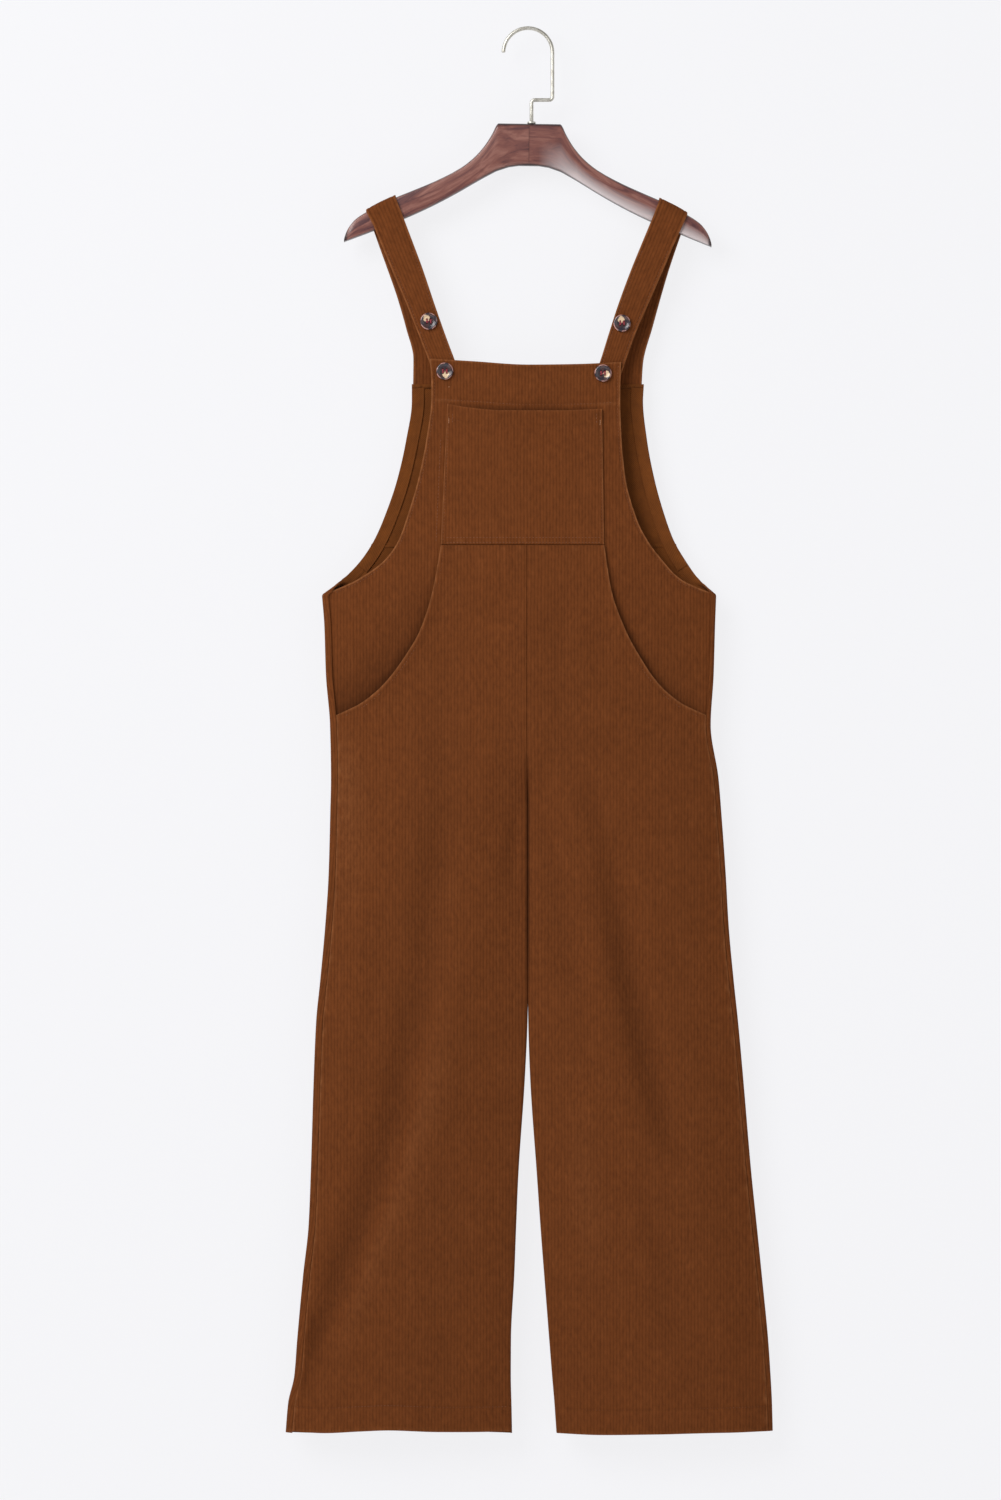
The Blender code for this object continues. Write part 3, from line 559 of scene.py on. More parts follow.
@dataclass
class Nodes:
    """Node tree of one material, with its Principled shader."""

    material: Material

    @classmethod
    def new(cls, name: str, **sockets: object) -> "Nodes":
        """Material of a name, with values on its shader's own sockets.

        Args:
            name: its name.
            sockets: values by the sockets' names, with _ for a space.

        Returns:
            Its nodes.
        """
        material = bpy.data.materials.new(name)
        material.use_nodes = True
        made = cls(material)
        for socket, value in sockets.items():
            made.shader.inputs[socket.replace("_", " ")].default_value = value
        return made

    @property
    def shader(self) -> bpy.types.Node:
        """The Principled shader."""
        return self.material.node_tree.nodes["Principled BSDF"]

    def add(self, kind: str, inputs: dict[int | str, object] | tuple[object, ...] = (), out: int | str = 0,
            stops: Sequence[tuple[float, str]] = (), **settings: object) -> bpy.types.NodeSocket:
        """Adds a node with its settings, values and links.

        Args:
            kind: type of node, without the ShaderNode in front, and a maths node's operation.
            inputs: a value or another node's output for each socket, by key or in order.
            out: which of its outputs to give.
            stops: places and hex codes along a colour ramp.
            settings: the node's own properties.

        Returns:
            The output.
        """
        tree = self.material.node_tree
        kind, *operation = kind.split()
        node = tree.nodes.new("ShaderNode" + kind)
        for name, value in {**settings, **({"operation": operation[0]} if operation else {})}.items():
            setattr(node, name, value)
        for key, value in (inputs if isinstance(inputs, dict) else dict(enumerate(inputs))).items():
            if isinstance(value, bpy.types.NodeSocket):
                tree.links.new(value, node.inputs[key])
            else:
                node.inputs[key].default_value = value
        if stops:
            elements = node.color_ramp.elements
            while len(elements) < len(stops):
                elements.new(0.5)
            for element, (place, code) in zip(elements, stops):
                element.position, element.color = place, linear(code)
        return node.outputs[out]

    def wire(self, output: bpy.types.NodeSocket, socket: str) -> None:
        """Link to a socket of the shader."""
        self.material.node_tree.links.new(output, self.shader.inputs[socket])


@dataclass(frozen=True)
class Corduroy:
    """Cotton corduroy, piece dyed and brushed: cut pile in wales with a soft, dry nap.

    Real wales are 2.3 mm apart, and are drawn at wale_mm to show in a picture of the whole garment.
    """

    name: str = "brushed_corduroy"
    wale_mm: float = 3.4
    waver_mm: float = 1.2
    ridge: str = "6C3A1A"
    groove: str = "5E3216"
    pale_nap: str = "784321"
    # Pale colour of positive tone: wear and painted highlight.
    wear_and_highlight: str = "96603A"
    sheen: str = "B5703C"
    depth_mm: float = 0.24
    nap_mm: float = 0.16

    def make(self) -> Material:
        """The pile side of the cloth, on a UV map of metres across and along the wales.

        Returns:
            The material.
        """
        nodes = Nodes.new(self.name, Roughness=0.88, Sheen_Weight=0.06, Sheen_Roughness=0.45,
                          Sheen_Tint=linear(self.sheen), Specular_IOR_Level=0.08)
        add = nodes.add
        place = add("UVMap", uv_map="grain")
        across, along = add("SeparateXYZ", (place,)).node.outputs[:2]
        pitch = self.wale_mm * MM
        waver = add("TexNoise", {"Vector": place, "Scale": 22.0, "Detail": 1.0})
        drawn = add("Math MULTIPLY_ADD", (waver, self.waver_mm * MM, across))
        wave = add("Math COSINE", (add("Math MULTIPLY", (drawn, math.pi / pitch)),))
        wale = add("Math POWER", (add("Math ABSOLUTE", (wave,)), 0.7))
        # Each wale has lighter and darker stretches, where its pile lies one way or the other.
        number = add("Math FLOOR", (add("Math MULTIPLY_ADD", (drawn, 1 / pitch, 0.5)),))
        own = add("CombineXYZ", (add("Math MULTIPLY", (number, 0.37)),
                                 add("Math MULTIPLY", (along, 26.0))))
        streak = add("TexNoise", {"Vector": own, "Scale": 1.0, "Detail": 3.0})
        pale = add("Math MULTIPLY", (add("MapRange", (streak, 0.5, 0.72, 0.0, 0.34)), wale))
        # Brushed nap: tufts a few millimetres across, a little longer down the cloth, and hand-sized patches.
        longer = add("Mapping", {0: place, 3: (1.0, 0.45, 1.0)})
        tuft = add("TexNoise", {"Vector": longer, "Scale": 260.0, "Detail": 3.0, "Roughness": 0.6})
        patch = add("TexNoise", {"Vector": place, "Scale": 26.0, "Detail": 4.0, "Roughness": 0.62})
        shade = add("Math MULTIPLY", (add("MapRange", (tuft, 0.3, 0.7, 0.84, 1.16)),
                             add("MapRange", (patch, 0.32, 0.68, 0.95, 1.05))))
        # Positive tone pales the cloth towards the pale colour, as wear and as painted highlight on edges,
        # crease ridges and puckers; negative tone darkens it as painted shade in seams, creases, crevices and
        # under laps, unevenly along all of them.
        tone = add("Attribute", (), "Fac", attribute_name="tone")
        uneven = add("Math MULTIPLY", (tone, add("MapRange", (tuft, 0.3, 0.7, 0.6, 1.3))))
        pale_wear_and_highlight = add("Math MULTIPLY", (add("Math MAXIMUM", (uneven, 0.0)), 0.75))
        painted_shade = add("Math MULTIPLY_ADD", (add("Math MINIMUM", (tone, 0.0)), 0.6, 1.0))
        colour = add("Mix", {0: wale, 6: linear(self.groove), 7: linear(self.ridge)}, 2, data_type="RGBA")
        colour = add("Mix", {0: pale, 6: colour, 7: linear(self.pale_nap)}, 2, data_type="RGBA")
        colour = add("Mix", {0: pale_wear_and_highlight, 6: colour, 7: linear(self.wear_and_highlight)}, 2, data_type="RGBA")
        level = add("Math MULTIPLY", (shade, painted_shade))
        grey = add("CombineColor", (level, level, level))
        colour = add("Mix", {0: 1.0, 6: colour, 7: grey}, 2, data_type="RGBA", blend_type="MULTIPLY")
        nodes.wire(colour, "Base Color")
        fuzz = add("Math MULTIPLY", (tuft, self.nap_mm * MM))
        height = add("Math MULTIPLY_ADD", (wale, self.depth_mm * MM, fuzz))
        nodes.wire(add("Bump", {"Height": height, "Strength": 0.85, "Distance": 1.0}), "Normal")
        return nodes.material


@dataclass(frozen=True)
class CorduroyReverse:
    """Ground weave on the inside of the corduroy: flat, dry and a little paler than the pile."""

    name: str = "corduroy_reverse"
    warp: str = "78431C"
    weft: str = "603517"
    thread_mm: float = 1.1
    depth_mm: float = 0.08

    def make(self) -> Material:
        """The plain side of the cloth. Real threads are 0.4 mm apart, and are drawn at thread_mm to show.

        Returns:
            The material.
        """
        nodes = Nodes.new(self.name, Roughness=0.93, Sheen_Weight=0.02, Specular_IOR_Level=0.08)
        add = nodes.add
        place = add("UVMap", uv_map="grain")
        turns = math.pi / (self.thread_mm * MM)
        waves = [add("Math SINE", (add("Math MULTIPLY", (way, turns)),))
                 for way in add("SeparateXYZ", (place,)).node.outputs[:2]]
        weave = add("Math MULTIPLY", tuple(waves))
        fuzz = add("TexNoise", {"Vector": place, "Scale": 60.0, "Detail": 5.0, "Roughness": 0.7})
        level = add("Math MULTIPLY_ADD", (weave, 0.25, fuzz))
        colour = add("ValToRGB", (level,), stops=((0.25, self.weft), (0.75, self.warp)))
        tone = add("Attribute", (), "Fac", attribute_name="tone")
        # Negative tone darkens the reverse too, as painted shade.
        painted_shade = add("Math MULTIPLY_ADD", (add("Math MINIMUM", (tone, 0.0)), 0.7, 1.0))
        grey = add("CombineColor", (painted_shade, painted_shade, painted_shade))
        colour = add("Mix", {0: 1.0, 6: colour, 7: grey}, 2, data_type="RGBA", blend_type="MULTIPLY")
        nodes.wire(colour, "Base Color")
        height = add("Math MULTIPLY", (weave, self.depth_mm * MM))
        nodes.wire(add("Bump", {"Height": height, "Strength": 0.5, "Distance": 1.0}), "Normal")
        return nodes.material


@dataclass(frozen=True)
class Thread:
    """Spun polyester sewing thread: two plies, slightly shiny."""

    name: str
    light: str
    dark: str

    def make(self) -> Material:
        """Thread with its plies as fine bands. Real plies are 0.3 mm long and are drawn at 0.9 mm to show.

        Returns:
            The material.
        """
        nodes = Nodes.new(self.name, Roughness=0.6, Sheen_Weight=0.15)
        place = nodes.add("TexCoord", (), "Object")
        ply = nodes.add("TexWave", {"Vector": place, "Scale": 350.0, "Distortion": 2.0}, "Fac",
                        bands_direction="DIAGONAL")
        colour = nodes.add("ValToRGB", (ply,), stops=((0.2, self.dark), (0.8, self.light)))
        nodes.wire(colour, "Base Color")
        return nodes.material


@dataclass(frozen=True)
class Tortoiseshell:
    """Cast polyester resin in imitation tortoiseshell, tumbled to a gloss: dark cloud, amber patches."""

    name: str = "tortoiseshell_resin"
    cloud: str = "2A2630"
    brown: str = "4E3430"
    amber: str = "E2C4A0"
    # Pinkish colour of one small patch, and of the painted highlight on the rim.
    rose_patch_and_highlight: str = "C08F86"

    def make(self) -> Material:
        """Patches on a UV map of the button's own face, so that each button turns them its own way.

        Returns:
            The material.
        """
        nodes = Nodes.new(self.name, Roughness=0.24, Coat_Weight=0.25, Coat_Roughness=0.1, IOR=1.55)
        add = nodes.add
        place = add("UVMap", uv_map="face")
        wisp, drift = add("TexNoise", {"Vector": place, "Scale": 240.0, "Detail": 3.0,
                                       "Distortion": 0.6}).node.outputs[:2]
        colour = add("ValToRGB", (wisp,), stops=((0.38, self.cloud), (0.66, self.brown)))
        bent = add("VectorMath MULTIPLY_ADD", (drift, (0.006, 0.006, 0.0), place))
        for middle, size, code in (((0.0056, 0.0056, 0.0), 0.0037, self.amber),
                                   ((-0.0048, -0.003, 0.0), 0.0024, self.rose_patch_and_highlight)):
            away = add("VectorMath DISTANCE", (bent, middle), "Value")
            spot = add("MapRange", (away, size, size * 0.75, 0.0, 1.0))
            colour = add("Mix", {0: spot, 6: colour, 7: linear(code)}, 2, data_type="RGBA")
        # The polished rim is painted with a pale pinkish highlight here and there.
        out = add("VectorMath LENGTH", (place,), "Value")
        broken = add("TexNoise", {"Vector": place, "Scale": 130.0, "Detail": 1.0})
        rim = add("Math", (add("MapRange", (out, 0.0078, 0.0083)), add("MapRange", (broken, 0.47, 0.56))),
                  operation="MULTIPLY")
        nodes.wire(add("Mix", {0: rim, 6: colour, 7: linear(self.rose_patch_and_highlight)}, 2, data_type="RGBA"), "Base Color")
        return nodes.material


@dataclass(frozen=True)
class Rosewood:
    """Hardwood stained as rosewood under clear lacquer: dark streaks and a wet gloss, with a painted pale
    gloss on one arm and painted dark reflections along its rims.
    """

    name: str = "lacquered_rosewood"
    heart: str = "7A4C44"
    streak: str = "553436"
    flame: str = "93655A"
    # Dark of the painted dark reflections on the rims and tip ends, and of the glued joint.
    edge: str = "231316"
    # Pale of the painted gloss on one arm.
    painted_gloss: str = "D9CFCF"
    left_from: float = 0.3
    pore_mm: float = 0.06

    def make(self) -> Material:
        """Grain on a UV map that runs along each arm: U metres along it, V from its lower to its upper edge.

        Returns:
            The material.
        """
        nodes = Nodes.new(self.name, Roughness=0.36, Coat_Weight=0.35, Coat_Roughness=0.15,
                          Specular_IOR_Level=0.35)
        add = nodes.add
        place = add("UVMap", uv_map="arm")
        along, up = add("SeparateXYZ", (place,)).node.outputs[:2]
        drawn_out = add("Mapping", {0: place, 3: (20.0, 3.0, 1.0)})
        figure = add("TexNoise", {"Vector": drawn_out, "Scale": 1.2, "Detail": 5.0, "Roughness": 0.6,
                                  "Distortion": 1.2})
        finer = add("Mapping", {0: place, 3: (110.0, 26.0, 1.0)})
        pores = add("TexNoise", {"Vector": finer, "Scale": 1.0, "Detail": 2.0})
        stops = ((0.34, self.streak), (0.5, self.heart), (0.66, self.flame))
        colour = add("ValToRGB", (figure,), stops=stops)
        dark = add("MapRange", (pores, 0.6, 0.7, 0.0, 0.45))
        colour = add("Mix", {0: dark, 6: colour, 7: linear(self.streak)}, 2, data_type="RGBA")
        # One arm is painted pale as the reflection of its gloss, most along its lower edge, and every rim and
        # tip end is painted dark as a dark reflection; a thin dark line marks the glued joint at the middle.
        low = add("Math MULTIPLY", (add("Math LESS_THAN", (along, self.left_from)),
                           add("MapRange", (up, 0.62, 0.1, 0.0, 0.8))))
        painted_gloss_share = add("Math MULTIPLY", (low, add("MapRange", (along, 0.01, 0.05))))
        colour = add("Mix", {0: painted_gloss_share, 6: colour, 7: linear(self.painted_gloss)}, 2, data_type="RGBA")
        rim = add("Math ABSOLUTE", (add("Math SUBTRACT", (up, 0.5)),))
        reach = add("Math MODULO", (along, self.left_from))
        painted_dark_edge = add("Math MAXIMUM", (add("MapRange", (rim, 0.435, 0.47, 0.0, 0.92)),
                             add("MapRange", (reach, 0.1885, 0.1905, 0.0, 0.9))))
        past = add("Math ABSOLUTE", (add("Math SUBTRACT", (along, self.left_from)),))
        joint = add("Math MINIMUM", (along, past))
        line = add("Math MAXIMUM", (painted_dark_edge, add("MapRange", (joint, 0.0012, 0.0004, 0.0, 0.3))))
        nodes.wire(add("Mix", {0: line, 6: colour, 7: linear(self.edge)}, 2, data_type="RGBA"), "Base Color")
        height = add("Math MULTIPLY", (pores, self.pore_mm * MM))
        nodes.wire(add("Bump", {"Height": height, "Strength": 0.4, "Distance": 1.0}), "Normal")
        return nodes.material


@dataclass(frozen=True)
class SatinNickel:
    """Steel wire, nickel plated and drawn through dies, which leaves a soft satin along it."""

    name: str = "satin_nickel"
    bright: str = "D8D5CC"
    dull: str = "BAB6AB"

    def make(self) -> Material:
        """Plate with faint clouding.

        Returns:
            The material.
        """
        nodes = Nodes.new(self.name, Metallic=1.0, Roughness=0.42)
        place = nodes.add("TexCoord", (), "Object")
        cloud = nodes.add("TexNoise", {"Vector": place, "Scale": 180.0, "Detail": 3.0})
        colour = nodes.add("ValToRGB", (cloud,), stops=((0.3, self.dull), (0.6, self.bright)))
        nodes.wire(colour, "Base Color")
        return nodes.material


@dataclass(frozen=True)
class SoftBox:
    """Soft light, aimed at the middle of the garment."""

    name: str
    size: tuple[float, float]
    at: tuple[float, float, float]
    watts: float
    aim: tuple[float, float, float] = (0.0, 0.0, -760.0)

    def build(self) -> None:
        """The lamp in its place."""
        lamp = bpy.data.lights.new(self.name, "AREA")
        lamp.shape, lamp.energy = "RECTANGLE", self.watts
        lamp.size, lamp.size_y = self.size[0] * MM, self.size[1] * MM
        thing = bpy.data.objects.new(self.name, lamp)
        bpy.context.scene.collection.objects.link(thing)
        start, end = Vector(self.at) * MM, Vector(self.aim) * MM
        turn = (end - start).to_track_quat("-Z", "Y")
        thing.matrix_world = Matrix.Translation(start) @ turn.to_matrix().to_4x4()


LIGHTS = (
    SoftBox("key", (1900, 1900), (-1700, -2300, 900), 85),
    SoftBox("fill", (2000, 2400), (2000, -2000, -100), 12),
    SoftBox("rear", (1900, 1900), (1900, 2100, 800), 75),
)


@dataclass(frozen=True)
class Studio:
    """White painted wall close behind the garment, pale floor, soft lights and the camera.

    The picture is 1001 by 1500 pixels of 1.05 mm on the hanger's plane.
    """

    pixels: tuple[int, int] = (1001, 1500)
    pixel_mm: float = 1.05
    origin_pixel: tuple[float, float] = (528.0, 30.0)
    distance: float = 6000.0
    sensor: float = 36.0
    wall_y: float = 28.0
    wall_size: tuple[float, float] = (9000.0, 6000.0)
    floor_z: float = -1640.0
    floor_size: tuple[float, float] = (9000.0, 9000.0)
    sky: float = 0.2
    wall_paint: str = "555558"
    wall_glow: float = 0.84
    glow_colour: str = "FDFDFF"
    floor_paint: str = "EDEDEE"

    def plane(self, name: str, size: tuple[float, float], location: tuple[float, float, float],
              upright: bool) -> Thing:
        """Rectangle, upright facing -Y or level facing up.

        Args:
            name: its name.
            size: width and length.
            location: its middle.
            upright: whether it stands.

        Returns:
            The rectangle.
        """
        turn = (math.pi / 2, 0, 0) if upright else (0, 0, 0)
        bpy.ops.mesh.primitive_plane_add(size=1, location=[c * MM for c in location], rotation=turn)
        made = bpy.context.object
        made.name = name
        made.scale = (size[0] * MM, size[1] * MM, 1)
        bpy.ops.object.transform_apply(location=True, rotation=True, scale=True)
        return made

    def paint(self, name: str, code: str, glow: float, one_sided: bool) -> Material:
        """Matt paint, or a diffuser lit from within, which keeps the shadows on it faint.

        Args:
            name: name of the material.
            code: its colour.
            glow: its own light.
            one_sided: whether it lets light and sight through from behind.

        Returns:
            The material.
        """
        nodes = Nodes.new(name, Base_Color=linear(code), Roughness=0.95, Specular_IOR_Level=0.1,
                          Emission_Color=linear(self.glow_colour), Emission_Strength=glow)
        if one_sided:
            behind = nodes.add("NewGeometry", (), "Backfacing")
            mixed = nodes.add("MixShader", (behind, nodes.shader.outputs[0], nodes.add("BsdfTransparent")))
            tree = nodes.material.node_tree
            tree.links.new(mixed, tree.nodes["Material Output"].inputs[0])
        return nodes.material

    def build(self) -> None:
        """Wall, floor, world, lights and camera."""
        middle = (0, self.wall_y, self.floor_z + self.wall_size[1] / 2)
        wall = self.plane("wall", self.wall_size, middle, upright=True)
        glowing = self.paint("wall_diffuser", self.wall_paint, self.wall_glow, one_sided=True)
        wall.data.materials.append(glowing)
        floor = self.plane("floor", self.floor_size, (0, 0, self.floor_z), upright=False)
        floor.data.materials.append(self.paint("floor_paint", self.floor_paint, 0.0, one_sided=False))
        world = bpy.data.worlds.new("studio")
        bpy.context.scene.world = world
        world.use_nodes = True
        world.node_tree.nodes["Background"].inputs[0].default_value = (1.0, 1.0, 1.0, 1.0)
        world.node_tree.nodes["Background"].inputs[1].default_value = self.sky
        for light in LIGHTS:
            light.build()
        lens = bpy.data.cameras.new("camera")
        lens.sensor_width = self.sensor
        lens.lens = self.sensor * self.distance / (self.pixels[1] * self.pixel_mm)
        lens.clip_end = 100.0
        camera = bpy.data.objects.new("camera", lens)
        bpy.context.scene.collection.objects.link(camera)
        x = (self.pixels[0] / 2 - self.origin_pixel[0]) * self.pixel_mm
        z = -(self.pixels[1] / 2 - self.origin_pixel[1]) * self.pixel_mm
        camera.location = (x * MM, -self.distance * MM, z * MM)
        camera.rotation_euler = (math.pi / 2, 0, 0)
        bpy.context.scene.camera = camera
        bpy.context.scene.view_settings.view_transform = "Standard"


# ---------------------------------------------------------------------------- cloth


def activate(thing: Thing) -> None:
    """Makes one object the selected and active one.

    Args:
        thing: the object.
    """
    bpy.ops.object.select_all(action="DESELECT")
    thing.select_set(True)
    bpy.context.view_layer.objects.active = thing


def modify(thing: Thing, kind: str, **settings: object) -> None:
    """Adds a modifier with its settings and applies it.

    Args:
        thing: the object.
        kind: type of the modifier.
        settings: its own properties.
    """
    made = thing.modifiers.new(kind.lower(), kind)
    for name, value in settings.items():
        setattr(made, name, value)
    activate(thing)
    bpy.ops.object.modifier_apply(modifier=made.name)


def mesh_object(name: str, points: Array, faces: list, *finishes: Material) -> Thing:
    """Smooth mesh from points in millimetres, with its finishes.

    Args:
        name: its name.
        points: corners, in a grid or a list.
        faces: the corners of each face.
        finishes: materials in order.

    Returns:
        The object.
    """
    mesh = bpy.data.meshes.new(name)
    mesh.from_pydata((points.reshape(-1, 3) * MM).tolist(), [], faces)
    for finish in finishes:
        mesh.materials.append(finish)
    mesh.shade_smooth()
    thing = bpy.data.objects.new(name, mesh)
    bpy.context.scene.collection.objects.link(thing)
    return thing


def seat(thing: Thing, slot: Slot, *nodes: str) -> Thing:
    """Lets a finished piece ride on the body and stand for its nodes.

    Args:
        thing: the piece.
        slot: its material slot, which is not used.
        nodes: the solids that it stands for.

    Returns:
        The same piece.
    """
    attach(thing, BODY)
    if nodes:
        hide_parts(*nodes)
    log.info("%s: %d faces", thing.name, len(thing.data.polygons))
    return thing


@dataclass
class Wardrobe:
    """The two sides of the cloth."""

    pile: Material
    reverse: Material


@dataclass
class Shell:
    """Wall of cloth from a grid of outer points, rows from the top and columns towards +X."""

    name: str
    points: Array
    grain: Array
    tone: Array
    way: Way
    wall: float = 1.6
    rounding: float = 0.5
    lined: bool = False

    def build(self, wardrobe: Wardrobe) -> Thing:
        """Mesh with its wall and rounded edges; the inside shows the reverse of the cloth unless it is lined.

        Args:
            wardrobe: the cloth's two sides.

        Returns:
            The piece.
        """
        rows, columns = self.points.shape[:2]
        index = np.arange(rows * columns).reshape(rows, columns)
        corners = [index[:-1, :-1], index[1:, :-1], index[1:, 1:], index[:-1, 1:]]
        quads = np.stack(corners, axis=-1).reshape(-1, 4)
        if self.way is Way.BACK:
            quads = quads[:, ::-1]
        thing = mesh_object(self.name, self.points, quads.tolist(), wardrobe.pile,
                            wardrobe.pile if self.lined else wardrobe.reverse)
        mesh = thing.data
        corner = np.empty(len(mesh.loops), np.int32)
        mesh.loops.foreach_get("vertex_index", corner)
        mesh.uv_layers.new(name="grain").data.foreach_set(
            "uv", (self.grain.reshape(-1, 2)[corner] * MM).astype(np.float32).ravel())
        mesh.attributes.new("tone", "FLOAT", "POINT").data.foreach_set(
            "value", self.tone.astype(np.float32).ravel())
        modify(thing, "SOLIDIFY", thickness=self.wall * MM, offset=-1.0, material_offset=1)
        modify(thing, "BEVEL", width=self.rounding * MM, segments=2, limit_method="ANGLE",
               angle_limit=math.radians(55))
        return thing


# How far from an edge the close columns of a panel lie.
LEAD = (0.0, 0.8, 1.5, 2.3, 3.2, 4.3, 5.6, 7.2, 9.4, 12.4)


def towards_right(side: Side, *grids: Array) -> tuple[Array, ...]:
    """Grids made from the middle outward, with their columns put in order towards +X."""
    return tuple(grid[:, ::-1] if side is Side.LEFT else grid for grid in grids)


@dataclass(frozen=True)
class Panel:
    """Piece of cloth with its edges and seams on the garment's form."""

    form: GarmentForm

    def ground(self, x: Array, z: Array) -> Array:
        """Outer face without edges and seams."""
        raise NotImplementedError

    def relief(self, x: Array, z: Array) -> Array:
        """Height, outward from the hanger's plane, and tone of its edges and seams."""
        raise NotImplementedError

    def face(self, x: Array, z: Array) -> Array:
        """Outer face.

        Args:
            x: places across.
            z: places down.

        Returns:
            Depths.
        """
        x, z = np.broadcast_arrays(x, z)
        ground = self.ground(x, z)
        return ground + np.where(ground < 0, -1, 1) * self.relief(x, z)[..., 0]

    def tone(self, x: Array, z: Array) -> Array:
        """How pale or dark the cloth is painted, as wear and as painted light and shade."""
        return np.clip(self.relief(*np.broadcast_arrays(x, z))[..., 1], -1.0, 1.0)


@dataclass(frozen=True)
class LegPart(Panel):
    """What leg fronts and backs share: the section from the centre seam or inseam outward."""

    side: Side
    turn_steps: int = 5
    # Strength of the painted light and shade laid along the finer creases, and how far across it is shifted
    # to fall on one flank.
    crease_tone: float = 0.07
    crease_shift: float = 5.0

    def strip(self, turn: Array, angle: float, tail: float, steps: int) -> tuple[Array, Array]:
        """Strip that turns round the roll, from lying flat (turn 0) to turned (turn 1).

        Args:
            turn: how far each row is turned.
            angle: full angle of the turn.
            tail: straight length after it.
            steps: columns round the turn.

        Returns:
            How far each column lies beyond the strip's start, and how far it has turned in.
        """
        share = np.arange(1, steps + 1) / steps
        run = angle * self.form.roll * share
        safe = np.maximum(turn, 1e-3)[:, None]
        out = self.form.roll / safe * np.sin(safe * run / self.form.roll)
        into = self.form.roll / safe * (1 - np.cos(safe * run / self.form.roll))
        if tail:
            ends = np.linspace(0, tail, 4)[1:]
            out = np.hstack([out, out[:, -1:] + ends * np.cos(safe * angle)])
            into = np.hstack([into, into[:, -1:] + ends * np.sin(safe * angle)])
        return out, into

    def section(self, z: Array, way: Way, face: Face, reach: Array,
                middle: int) -> tuple[Array, Array, Array]:
        """Outer points of rows from the centre out to a reach.

        Args:
            z: heights of the rows.
            way: front or back.
            face: outer face at places.
            reach: where each row ends.
            middle: columns between the close ones.

        Returns:
            X, Y and Z of all the points, without the side's sign on X.
        """
        sign = self.side.sign
        out, into = self.strip(self.form.parted(z), math.pi / 2, 0.0, self.turn_steps)
        press = self.form.press * self.form.parted(z)
        start = SIDES.read(self.side.value + "_in", z) + self.form.gap / 2 - press + out.max(axis=1)
        turned_x = start[:, None] - out[:, ::-1]
        split = (self.form.parted(z) > 0)[:, None]
        at = np.where(split, start[:, None], turned_x)
        level = np.broadcast_to(z[:, None], at.shape)
        turned_y = face(sign * at, level) - way.value * into[:, ::-1]
        turned_y = way.value * np.maximum(way.value * turned_y, self.form.gap / 2)
        flat_x = spread(start, reach, LEAD, middle)
        x = np.hstack([turned_x, flat_x])
        level = np.broadcast_to(z[:, None], x.shape)
        y = np.hstack([turned_y, face(sign * flat_x, np.broadcast_to(z[:, None], flat_x.shape))])
        return x, y, level.copy()


